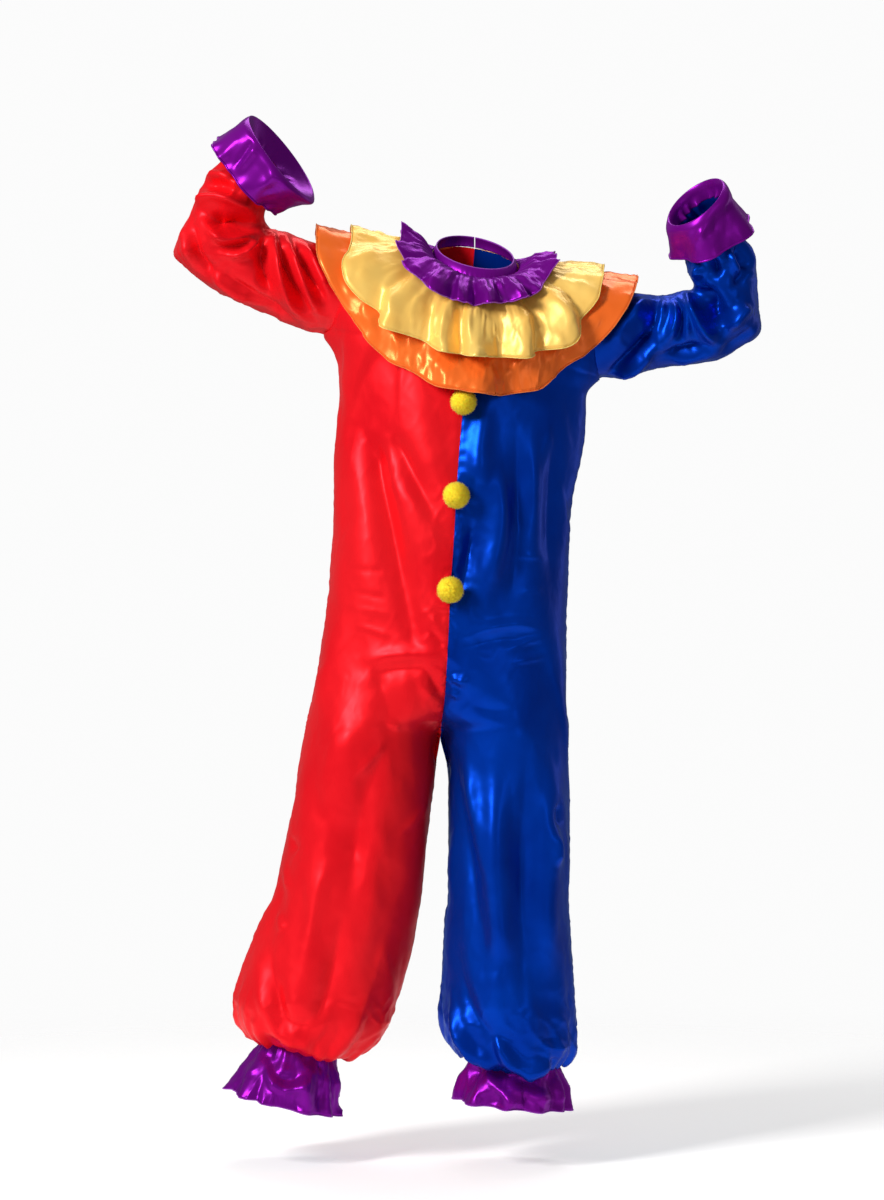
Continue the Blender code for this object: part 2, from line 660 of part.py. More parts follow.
def make_cuff(side, materials):
    """A cuff sewn to the sleeve's end, run out to the mouth and folded back over the sleeve."""
    cuff = CUFFS[side]
    rings = [sleeve_end(side, CUFF_AROUND)]
    for row in cuff["sections"]:
        section = named(CUFF_COLUMNS, row)
        along, depth = ring_axes((section["along_x"], section["along_z"]), cuff["lean"], -HALVES[side][1])
        middle = np.array((section["middle_x"], section["middle_y"], section["middle_z"]))
        ring = []
        for angle in np.linspace(0.0, 2 * math.pi, CUFF_AROUND, endpoint=False):
            swell = section["wave"] * math.cos(CUFF_WAVES * angle + CUFF_WAVE_TURN)
            ring.append(
                middle
                + along * (section["half_width"] + swell) * math.cos(angle)
                - depth * (section["half_depth"] + swell) * math.sin(angle)
            )
        rings.append(ring)
    rings = np.array(rings)
    normals = surface_normals(rings, True)
    # The last section is on the outer layer, so its normals point away from the middle.
    if np.sum(normals[-1] * (rings[-1] - rings[-1].mean(axis=0))) < 0:
        normals = -normals
    add_wall(f"cuff_{side}", rings, rings - normals * CUFF_CLOTH, True, materials["purple"])


def make_ankle_ruffle(side, materials):
    """A ruffle that hangs from the ankle elastic, in waves that grow towards its hem."""
    rings = []
    for row in ANKLES[side]:
        section = named(ANKLE_COLUMNS, row)
        slope = math.tan(math.radians(section["tilt"]))
        ring = []
        for angle in np.linspace(0.0, 2 * math.pi, ANKLE_AROUND, endpoint=False):
            uneven = 1 - ANKLE_UNEVEN * (1 - math.sin(2 * angle + 1.0))
            swell = section["wave"] * uneven * math.cos(ANKLE_WAVES * angle)
            x = (section["half_width"] + swell) * math.cos(angle)
            y = (section["half_depth"] + swell) * math.sin(angle)
            height = section["height"] - slope * x - ANKLE_WAVE_DROP * swell
            ring.append((section["middle_x"] + x, section["middle_y"] + y, height))
        rings.append(ring)
    rings = np.array(rings)
    normals = surface_normals(rings, True)
    if np.sum(normals[0] * (rings[0] - rings[0].mean(axis=0))) < 0:
        normals = -normals
    add_wall(f"ankle_ruffle_{side}", rings, rings - normals * RUFFLE_CLOTH, True, materials["purple"])


def body_profile(tree, angle):
    """The taut line over the body in one direction, as (reach, height) points from the neckline outwards."""
    neck = neck_point(angle)
    points = [(math.hypot(neck[0], neck[1]), neck[2])]
    steepest = math.degrees(math.atan2(neck[2] - BODY_POLE.z, points[0][0]))
    elevation = steepest - POLE_STEP
    length = 0.0
    while length < PROFILE_LIMIT and elevation > LOWEST_RAY:
        rise = math.radians(elevation)
        reaches = []
        for spread in (-POLE_SPREAD, 0.0, POLE_SPREAD):
            turned = angle + math.radians(spread)
            level = Vector((math.sin(turned), -math.cos(turned), 0.0)) * math.cos(rise)
            aim = level + Vector((0.0, 0.0, math.sin(rise)))
            place = tree.ray_cast(BODY_POLE, aim)[0]
            if place is not None:
                reaches.append((place - BODY_POLE).length)
        if reaches:
            reach = max(reaches)
            point = (reach * math.cos(rise), BODY_POLE.z + reach * math.sin(rise))
            length += math.dist(point, points[-1])
            points.append(point)
        elevation -= POLE_STEP
    taut = []
    for point in points:
        while len(taut) > 1 and bends_in(taut[-2], taut[-1], point):
            taut.pop()
        taut.append(point)
    return np.array(taut)


def bends_in(first, second, third):
    """Whether the middle one of three outline points lies inside the line between the others."""
    a = (second[0] - first[0], second[1] - first[1])
    b = (third[0] - second[0], third[1] - second[1])
    return a[0] * b[1] - a[1] * b[0] > 0


def along_profile(profile, length):
    """The point and the outward normal at a length along a profile."""
    steps = np.linalg.norm(np.diff(profile, axis=0), axis=1)
    starts = np.concatenate([[0.0], np.cumsum(steps)])
    reach = np.interp(length, starts, profile[:, 0])
    height = np.interp(length, starts, profile[:, 1])
    ahead = np.array([np.interp(length + PROFILE_SPREAD, starts, profile[:, column]) for column in (0, 1)])
    behind = np.array([np.interp(length - PROFILE_SPREAD, starts, profile[:, column]) for column in (0, 1)])
    run = ahead - behind
    return np.array((reach, height)), unit(np.array((-run[1], run[0])))


def fold_shares(name, direction):
    """How high a tier stands in a direction: 0 between folds, up to 1 on a crest."""
    best = 0.0
    for row in TIER_FOLDS[name]:
        fold = named(FOLD_COLUMNS, row)
        apart = abs(direction - fold["direction"]) / fold["half_width"]
        if apart < 1:
            best = max(best, fold["share"] * (0.5 + 0.5 * math.cos(math.pi * apart)))
    return best


def fold_envelope(name, direction):
    """The highest that a tier stands near a direction, for the tier that lies over it."""
    return max(fold_shares(name, direction + turn) for turn in ENVELOPE_TURNS)


def pompom_bump(direction, length):
    """The extra lift of the tiers where they pass over the top pompom."""
    side = math.exp(-((direction - TOP_POMPOM_DIRECTION) / TOP_POMPOM_BUMP_WIDTH) ** 2)
    hem = named(TIER_COLUMNS, TIERS[0])["width"]
    return TOP_POMPOM_BUMP * side * ease((length - TOP_POMPOM_BUMP_FROM) / (hem - TOP_POMPOM_BUMP_FROM))


def stack_height(tier, direction, length):
    """The offset of a tier's inner face from the body, over all the tiers under it."""
    total = 0.0
    for row in TIERS[: tier + 1]:
        section = named(TIER_COLUMNS, row)
        share = min(length / section["width"], 1.0)
        top = row is TIERS[tier]
        settle = ease(length / TIER_SETTLE)
        if section["name"] == TIERS[0][0]:
            total += section["foot"] + pompom_bump(direction, length)
        total += (TIER_SPARE if row is not TIERS[0] else 0.0) * settle + section["lift"] * settle
        if top:
            total += section["wave"] * share ** WAVE_GROWTH * fold_shares(section["name"], direction)
        else:
            total += section["wave"] * share ** WAVE_GROWTH * fold_envelope(section["name"], direction)
            total += RUFFLE_CLOTH + TIER_GAP
    return total


def make_tiers(tree, materials):
    """The orange, yellow and purple tiers, open at the back by a narrow slit."""
    for tier, row in enumerate(TIERS):
        section = named(TIER_COLUMNS, row)
        widest = 180.0 - OPENING_HALF_ANGLE
        inner = []
        for direction in np.linspace(-widest, widest, section["around"] + 1):
            angle = math.radians(direction)
            profile = body_profile(tree, angle)
            shares = fold_shares(section["name"], direction)
            hem = section["width"] + section["front_extra"] * max(math.cos(angle), 0.0)
            hem += section["notch"] * (shares - 0.5)
            column = []
            for length in np.linspace(TIER_START, hem, section["rows"] + 1):
                place, normal = along_profile(profile, length)
                place = place + normal * stack_height(tier, direction, length)
                column.append((place[0] * math.sin(angle), -place[0] * math.cos(angle), place[1]))
            inner.append(column)
        inner = np.array(inner).transpose(1, 0, 2)
        normals = surface_normals(inner, False)
        if np.sum(normals[..., 2]) < 0:
            normals = -normals
        add_wall(section["name"], inner + normals * RUFFLE_CLOTH, inner, False, materials[section["colour"]])


def make_neckband(materials):
    """The narrow standing band round the neck, open at the back."""
    widest = math.radians(180.0 - OPENING_HALF_ANGLE)
    outer = []
    inner = []
    for height in (BAND_FOOT, BAND_HEIGHT):
        draw_in = BAND_DRAW_IN * height / BAND_HEIGHT
        out_row = []
        in_row = []
        for angle in np.linspace(-widest, widest, BAND_AROUND + 1):
            foot = neck_point(angle)
            away = unit(np.array((foot[0], foot[1], 0.0)))
            point = foot - away * draw_in + np.array((0.0, 0.0, height))
            out_row.append(point)
            in_row.append(point - away * CLOTH)
        outer.append(out_row)
        inner.append(in_row)
    add_wall("neckband", np.array(outer), np.array(inner), False, materials["purple"])


def make_pompom(row, tree, materials):
    """A ball of pointed locks on a round core, flattened where it sits on the centre seam."""
    section = named(POMPOM_COLUMNS, row)
    trunk = [named(TRUNK_COLUMNS, values) for values in TRUNK]
    depths = [-cut["height"] for cut in trunk]
    seam_x = np.interp(-section["height"], depths, [cut["seam_x"] for cut in trunk])
    radius = section["diameter"] / 2
    seat = radius * section["seat"]
    middle = Vector((seam_x, POMPOM_START_Y, section["height"]))
    mesh = bmesh.new()
    bmesh.ops.create_icosphere(mesh, subdivisions=2, radius=1.0)
    tips = set(bmesh.ops.poke(mesh, faces=mesh.faces[:])["verts"])
    for number, vert in enumerate(mesh.verts):
        away = vert.co.normalized()
        length = radius * POMPOM_CORE_SHARE
        if vert in tips:
            length = radius * (1 - POMPOM_UNEVEN * (1 - math.sin(5.1 * number)))
        if away.y > 0:
            length = min(length, seat / away.y)
        vert.co = middle + away * length
    backwards = Vector((0.0, 1.0, 0.0))
    spots = [vert.co for vert in mesh.verts] + [face.calc_center_median() for face in mesh.faces]
    clear = min(tree.ray_cast(spot, backwards)[0].y - spot.y for spot in spots)
    bmesh.ops.translate(mesh, verts=mesh.verts, vec=backwards * (clear - POMPOM_GAP))
    bmesh.ops.recalc_face_normals(mesh, faces=mesh.faces)
    data = bpy.data.meshes.new(section["name"])
    mesh.to_mesh(data)
    mesh.free()
    add_object(section["name"], data, materials["pompom"])


def main():
    clear_scene()
    materials = make_materials()
    names, grids, normals = body_grids()
    tree = body_tree(grids)
    make_body(names, grids, normals, materials)
    for side in HALVES:
        make_cuff(side, materials)
        make_ankle_ruffle(side, materials)
    make_neckband(materials)
    make_tiers(tree, materials)
    for row in POMPOMS:
        make_pompom(row, tree, materials)


main()
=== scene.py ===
"""The looks of a clown jumpsuit: satin panels with folds, a ruffled collar, cuffs and pompoms.

Metres, +Z up, the front faces -Y. The forms repeat the sizes of the part's own source, at a finer pitch.
"""

import math

import bmesh
import bpy
import numpy as np
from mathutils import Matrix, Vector
from mathutils.bvhtree import BVHTree


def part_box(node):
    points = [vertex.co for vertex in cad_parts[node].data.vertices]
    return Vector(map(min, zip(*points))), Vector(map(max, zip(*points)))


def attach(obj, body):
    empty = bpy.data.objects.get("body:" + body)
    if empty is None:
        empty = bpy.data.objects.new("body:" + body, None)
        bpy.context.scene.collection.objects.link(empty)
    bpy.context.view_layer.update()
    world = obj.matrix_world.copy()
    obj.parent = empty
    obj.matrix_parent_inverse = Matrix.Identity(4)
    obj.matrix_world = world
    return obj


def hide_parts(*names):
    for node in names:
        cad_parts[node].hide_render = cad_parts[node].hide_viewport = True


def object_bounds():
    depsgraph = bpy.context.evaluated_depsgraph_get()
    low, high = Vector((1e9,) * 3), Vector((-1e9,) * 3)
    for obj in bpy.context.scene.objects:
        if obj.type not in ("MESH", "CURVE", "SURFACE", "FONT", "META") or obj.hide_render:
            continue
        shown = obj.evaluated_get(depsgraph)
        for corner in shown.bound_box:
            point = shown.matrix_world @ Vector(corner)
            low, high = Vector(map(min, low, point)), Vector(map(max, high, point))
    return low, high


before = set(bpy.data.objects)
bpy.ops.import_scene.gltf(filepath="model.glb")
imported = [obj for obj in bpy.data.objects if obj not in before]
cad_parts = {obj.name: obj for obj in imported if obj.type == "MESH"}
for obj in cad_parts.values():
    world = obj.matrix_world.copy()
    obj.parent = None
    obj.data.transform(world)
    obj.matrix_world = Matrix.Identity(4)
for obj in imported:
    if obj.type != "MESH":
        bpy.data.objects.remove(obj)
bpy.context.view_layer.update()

# Camera: the photo's view, level, in front of the suit
CAMERA_PLACE = (-0.057, -6.0, -0.588)
CAMERA_SENSOR = 24.0
CAMERA_SEEN_HEIGHT = 2.064
CAMERA_CLIP_END = 60.0

# Light: name, place, aim, width and height, power and colour
LIGHTS = (
    ("key", (-2.9, -2.8, 1.5), (-0.1, 0.0, -0.5), (1.0, 1.7), 190, (1.0, 0.98, 0.96)),
    ("fill", (2.2, -3.8, 0.2), (0.0, 0.0, -0.5), (0.9, 2.0), 8, (0.97, 0.98, 1.0)),
    ("top", (0.3, 1.4, 2.4), (0.0, 0.0, -0.3), (2.4, 1.2), 40, (1.0, 1.0, 1.0)),
    ("rim", (2.6, 1.8, 0.2), (0.0, 0.0, -0.7), (0.6, 2.4), 4, (1.0, 1.0, 1.0)),
)
EVEN_LIGHT = 0.25
BACKDROP_BRIGHTNESS = 0.97

# Floor: how much of its radius is solid and where it is gone, its middle, how far it lies under the hems,
# and its finish
FLOOR_RADIUS = 2.6
FLOOR_SIDES = 96
FLOOR_FADE = (0.3, 0.98)
FLOOR_MIDDLE_X = -0.05
FLOOR_BELOW_HEM = 0.08
FLOOR_FINISH = {
    "Base Color": (0.93, 0.93, 0.93, 1.0),
    "Roughness": 0.9,
    "Specular IOR Level": 0.1,
    "Emission Color": (1.0, 1.0, 1.0, 1.0),
    "Emission Strength": 0.32,
}

# Fine grid of the body panels
COLUMN_CELLS = 96
NECK_COLUMN_SHARE = 5 / 12
EDGE_COLUMNS = (0.003, 0.008)
COARSE_YOKE_ROWS = 8
YOKE_STEPS = 9
ROW_PITCH = 0.0042
LEAST_STEPS = 4

# Neckline: half width, half depth, and the height of its middle, its front drop and its sideways drop
NECK_HALF_WIDTH = 0.073
NECK_HALF_DEPTH = 0.076
NECK_MIDDLE = -0.008
NECK_FRONT_DROP = 0.033
NECK_SIDE_DROP = 0.012

# Armholes: tip of the shoulder seam, underarm point, half depth and how far each half is scooped inwards
ARMHOLES = {
    "right": {
        "tip": (-0.215, 0.005, 0.020),
        "underarm": (-0.260, 0.0, -0.131),
        "depth": 0.086,
        "scoop": 0.016,
    },
    "left": {
        "tip": (0.217, 0.005, -0.041),
        "underarm": (0.217, 0.0, -0.210),
        "depth": 0.088,
        "scoop": 0.016,
    },
}
CENTRE_BULGE = 0.008

# Half the gap between the legs just under the crotch, where the four panels meet in one point
CROTCH_HALF_GAP = 0.007

# Sections of the trunk. height is taken at the centre seam, and tilt, in degrees, lifts the right side.
# reach says how far each half's oval would run past the centre seam: 1 on the trunk, 0 at the crotch.
TRUNK_COLUMNS = ("height", "tilt", "right_x", "left_x", "seam_x", "front", "back", "reach")
TRUNK = (
    (-0.172, 9.4, -0.260, 0.217, -0.016, 0.126, 0.124, 1.0),
    (-0.200, 8.5, -0.243, 0.196, -0.018, 0.131, 0.128, 1.0),
    (-0.245, 7.0, -0.235, 0.190, -0.020, 0.138, 0.131, 1.0),
    (-0.300, 5.0, -0.232, 0.183, -0.025, 0.141, 0.132, 1.0),
    (-0.362, 3.0, -0.236, 0.174, -0.030, 0.143, 0.130, 1.0),
    (-0.430, 1.5, -0.240, 0.166, -0.034, 0.143, 0.128, 1.0),
    (-0.500, 0.5, -0.244, 0.160, -0.038, 0.141, 0.128, 1.0),
    (-0.570, 0.0, -0.250, 0.158, -0.043, 0.138, 0.131, 1.0),
    (-0.640, 0.0, -0.261, 0.158, -0.046, 0.135, 0.135, 0.95),
    (-0.700, 0.0, -0.271, 0.157, -0.049, 0.131, 0.137, 0.55),
    (-0.750, 0.0, -0.279, 0.157, -0.052, 0.127, 0.136, 0.26),
    (-0.790, 0.0, -0.287, 0.157, -0.057, 0.123, 0.132, 0.12),
    (-0.820, 0.0, -0.293, 0.158, -0.060, 0.120, 0.128, 0.0),
)

# Sections of each leg, down to the puff over the elastic, its lip, and the elastic inside the lip
LEG_COLUMNS = ("height", "tilt", "outer_x", "inner_x", "middle_y", "half_depth")
LEGS = {
    "right": (
        (-0.875, 1.0, -0.302, -0.067, 0.004, 0.122),
        (-0.950, 3.0, -0.3125, -0.0735, 0.005, 0.121),
        (-1.030, 5.0, -0.334, -0.085, 0.006, 0.120),
        (-1.110, 7.0, -0.355, -0.100, 0.007, 0.120),
        (-1.190, 9.0, -0.383, -0.118, 0.008, 0.122),
        (-1.255, 10.0, -0.406, -0.134, 0.009, 0.125),
        (-1.308, 10.5, -0.417, -0.153, 0.010, 0.123),
        (-1.343, 10.5, -0.409, -0.184, 0.010, 0.110),
        (-1.362, 10.5, -0.382, -0.212, 0.010, 0.086),
        (-1.351, 10.5, -0.370, -0.236, 0.010, 0.067),
    ),
    "left": (
        (-0.875, 0.0, 0.159, -0.050, 0.002, 0.120),
        (-0.950, 0.0, 0.161, -0.051, 0.000, 0.119),
        (-1.030, 0.0, 0.160, -0.050, -0.002, 0.118),
        (-1.110, 0.5, 0.159, -0.050, -0.004, 0.118),
        (-1.190, 1.5, 0.164, -0.053, -0.006, 0.119),
        (-1.258, 3.0, 0.169, -0.058, -0.008, 0.122),
        (-1.322, 4.5, 0.176, -0.062, -0.010, 0.122),
        (-1.360, 5.5, 0.174, -0.053, -0.010, 0.112),
        (-1.382, 5.5, 0.153, -0.027, -0.010, 0.092),
        (-1.368, 5.5, 0.139, -0.009, -0.010, 0.074),
    ),
}

# Sections of each sleeve after the armhole. upper is the side towards the head, lower the side away from it,
# and lean turns the section towards the front, in degrees.
SLEEVE_COLUMNS = ("upper_x", "upper_z", "lower_x", "lower_z", "middle_y", "half_depth", "lean")
SLEEVES = {
    "right": (
        (-0.260, 0.021, -0.301, -0.117, 0.000, 0.078, 0.0),
        (-0.303, 0.030, -0.353, -0.098, -0.006, 0.073, 2.0),
        (-0.327, 0.040, -0.404, -0.076, -0.013, 0.069, 3.0),
        (-0.342, 0.044, -0.456, -0.052, -0.020, 0.067, 4.0),
        (-0.352, 0.048, -0.495, -0.022, -0.027, 0.067, 5.0),
        (-0.358, 0.056, -0.518, 0.003, -0.032, 0.067, 6.0),
        (-0.360, 0.065, -0.503, 0.038, -0.037, 0.066, 8.0),
        (-0.359, 0.073, -0.485, 0.071, -0.041, 0.064, 10.0),
        (-0.356, 0.082, -0.469, 0.107, -0.046, 0.061, 12.0),
        (-0.347, 0.091, -0.445, 0.150, -0.052, 0.058, 14.0),
        (-0.334, 0.102, -0.416, 0.172, -0.057, 0.055, 15.0),
        (-0.320, 0.112, -0.389, 0.191, -0.061, 0.053, 15.0),
    ),
    "left": (
        (0.253, -0.055, 0.263, -0.205, -0.004, 0.082, 0.0),
        (0.289, -0.062, 0.310, -0.194, -0.009, 0.077, 3.0),
        (0.322, -0.064, 0.360, -0.184, -0.015, 0.073, 5.0),
        (0.349, -0.060, 0.404, -0.175, -0.021, 0.070, 7.0),
        (0.370, -0.054, 0.447, -0.157, -0.028, 0.069, 9.0),
        (0.372, -0.044, 0.484, -0.129, -0.035, 0.068, 12.0),
        (0.368, -0.035, 0.482, -0.092, -0.042, 0.066, 16.0),
        (0.364, -0.025, 0.479, -0.055, -0.050, 0.063, 20.0),
        (0.361, -0.014, 0.475, -0.022, -0.059, 0.059, 23.0),
        (0.357, 0.000, 0.461, 0.016, -0.070, 0.055, 25.0),
        (0.352, 0.014, 0.440, 0.054, -0.080, 0.051, 27.0),
        (0.348, 0.030, 0.419, 0.095, -0.089, 0.048, 27.0),
    ),
}

SLEEVE_LEAST_GAP = 0.008
SLEEVE_PITCH_SHARE = 0.8

# Turned-back cuffs: the sewn end inside, the folded mouth, and the free edge that lies over the sleeve
CUFF_COLUMNS = ("middle_x", "middle_z", "middle_y", "along_x", "along_z", "half_width", "half_depth", "wave")
CUFF_AROUND = 160
CUFF_ROW_PITCH = 0.0022
CUFF_LEAST_GAP = 0.002
CUFF_WAVES = 5
CUFF_WAVE_TURN = 0.7
CUFFS = {
    "right": {
        "lean": 15.0,
        "sections": (
            (-0.3435, 0.1575, -0.064, 0.592, -0.806, 0.066, 0.064, 0.0),
            (-0.3340, 0.1640, -0.066, 0.592, -0.806, 0.080, 0.075, 0.0),
            (-0.3300, 0.1665, -0.067, 0.592, -0.806, 0.086, 0.080, 0.0),
            (-0.332, 0.163, -0.067, 0.594, -0.804, 0.0905, 0.0845, 0.0015),
            (-0.353, 0.154, -0.063, 0.600, -0.800, 0.088, 0.082, 0.003),
            (-0.376, 0.144, -0.058, 0.610, -0.792, 0.083, 0.077, 0.004),
            (-0.394, 0.136, -0.054, 0.620, -0.785, 0.080, 0.074, 0.006),
        ),
    },
    "left": {
        "lean": 27.0,
        "sections": (
            (0.3775, 0.073, -0.096, -0.745, -0.667, 0.0495, 0.0495, 0.0),
            (0.3735, 0.081, -0.101, -0.745, -0.667, 0.0525, 0.0525, 0.0),
            (0.3715, 0.085, -0.103, -0.745, -0.667, 0.0560, 0.0560, 0.0),
            (0.3735, 0.081, -0.101, -0.755, -0.655, 0.061, 0.060, 0.001),
            (0.382, 0.062, -0.091, -0.800, -0.600, 0.064, 0.063, 0.003),
            (0.394, 0.042, -0.080, -0.850, -0.530, 0.068, 0.067, 0.005),
            (0.403, 0.026, -0.071, -0.900, -0.436, 0.073, 0.071, 0.007),
        ),
    },
}

# Ankle ruffles, from the elastic to the hem
ANKLE_COLUMNS = ("middle_x", "height", "tilt", "middle_y", "half_width", "half_depth")
ANKLE_AROUND = 260
ANKLE_ROW_PITCH = 0.0045
ANKLES = {
    "right": (
        (-0.303, -1.346, 10.5, 0.010, 0.0638, 0.0638),
        (-0.307, -1.370, 10.5, 0.009, 0.0680, 0.0680),
        (-0.317, -1.406, 12.0, 0.004, 0.0840, 0.0840),
        (-0.331, -1.447, 14.0, -0.003, 0.0950, 0.0950),
    ),
    "left": (
        (0.065, -1.364, 5.5, -0.010, 0.0712, 0.0712),
        (0.065, -1.388, 5.5, -0.011, 0.0790, 0.0770),
        (0.064, -1.418, 5.5, -0.015, 0.0930, 0.0910),
        (0.063, -1.448, 5.5, -0.019, 0.1000, 0.0980),
    ),
}

# Collar tiers, from the body outwards. Each lies over the one before. foot and lift are the offsets from the
# body at the neck and at the hem, wave is the height of the folds at the hem, and notch draws the hem in
# between the folds.
TIER_COLUMNS = ("name", "colour", "width", "front_extra", "around", "rows", "foot", "lift", "wave", "notch")
TIERS = (
    ("collar_orange", "orange", 0.208, 0.012, 400, 30, 0.0006, 0.006, 0.009, 0.004),
    ("collar_yellow", "yellow", 0.150, 0.010, 520, 26, 0.0026, 0.004, 0.022, 0.009),
    ("neck_ruffle", "purple", 0.060, 0.018, 620, 16, 0.0046, 0.004, 0.016, 0.008),
)
TIER_START = 0.0015
TIER_SPARE = 0.0012
TIER_GAP = 0.0004
TIER_SETTLE = 0.03
WAVE_GROWTH = 1.3
OPENING_HALF_ANGLE = 0.7
BODY_POLE = Vector((0.0, 0.0, -0.10))
POLE_STEP = 2.5
POLE_SPREAD = 4.0
LOWEST_RAY = -80.0
PROFILE_LIMIT = 0.25
PROFILE_DIRECTIONS = 180
PROFILE_LENGTHS = 56
SMOOTHING_AROUND = 2
SMOOTHING_OUTWARDS = 6
RUFFLE_CLOTH = 0.0014
ENVELOPE_TURNS = (-10.0, -5.0, 0.0, 5.0, 10.0)

# Folds of each tier: the direction of the crest, in degrees from the front towards the left side, half the
# fold's width in degrees, and its height as a share of the tier's wave
FOLD_COLUMNS = ("direction", "half_width", "share")
TIER_FOLDS = {
    "collar_orange": (
        (-160, 18, 0.7), (-122, 18, 0.8), (-84, 16, 0.1), (-52, 15, 0.9), (-22, 14, 0.7),
        (8, 15, 0.9), (38, 15, 0.8), (68, 14, 0.6), (98, 16, 0.1), (132, 18, 0.8), (165, 15, 0.7),
    ),
    "collar_yellow": (
        (-165, 13, 0.8), (-138, 12, 1.0), (-112, 12, 0.5), (-88, 11, 0.3), (-64, 11, 0.8), (-42, 10, 1.0),
        (-20, 10, 0.8), (3, 11, 1.0), (26, 10, 0.9), (48, 10, 1.0), (70, 11, 0.5), (94, 12, 0.3),
        (120, 12, 0.6), (146, 12, 1.0), (169, 10, 0.7),
    ),
    "neck_ruffle": tuple(
        (-171 + 18 * number, 9 if number % 3 else 8, 0.75 + 0.25 * math.cos(2.4 * number))
        for number in range(20)
    ),
}

# The rise of the tiers over the top pompom, its direction and half width in degrees, and where it starts
TOP_POMPOM_BUMP = 0.036
TOP_POMPOM_DIRECTION = -7.0
TOP_POMPOM_BUMP_WIDTH = 17.0
TOP_POMPOM_BUMP_FROM = 0.125

# Neckband
BAND_HEIGHT = 0.018
BAND_AROUND = 240
BAND_ROWS = 12
BAND_BULGE = 0.0012
BAND_RIPPLE = 0.0008
BAND_CLOTH = 0.0016
BAND_EDGE_RADIUS = 0.0012
BAND_EDGE_INSET = 0.0008
BAND_FOOT = 0.0006
BAND_DRAW_IN = 0.006

# Pompoms on the centre seam, from the top, with their diameters. A ball has a core with low bumps, and strands
# from inside the core to about the ball's radius, with none where it sits on the cloth.
POMPOMS = {"pompom_top": 0.046, "pompom_middle": 0.047, "pompom_bottom": 0.047}
POMPOM_SEED = 100
POMPOM_CORE = 0.86
POMPOM_BUMPS = 0.03
POMPOM_BUMP_PITCH = 0.03
POMPOM_BUMP_SEED = 7
POMPOM_STRANDS = 5200
POMPOM_BARE_FROM = 0.75
POMPOM_REACH = (0.90, 1.015)
STRAND_ROOT = 0.80
STRAND_RADIUS = 0.00055
STRAND_SPREAD = 0.0009
TRIANGLE_HEIGHT = 0.87

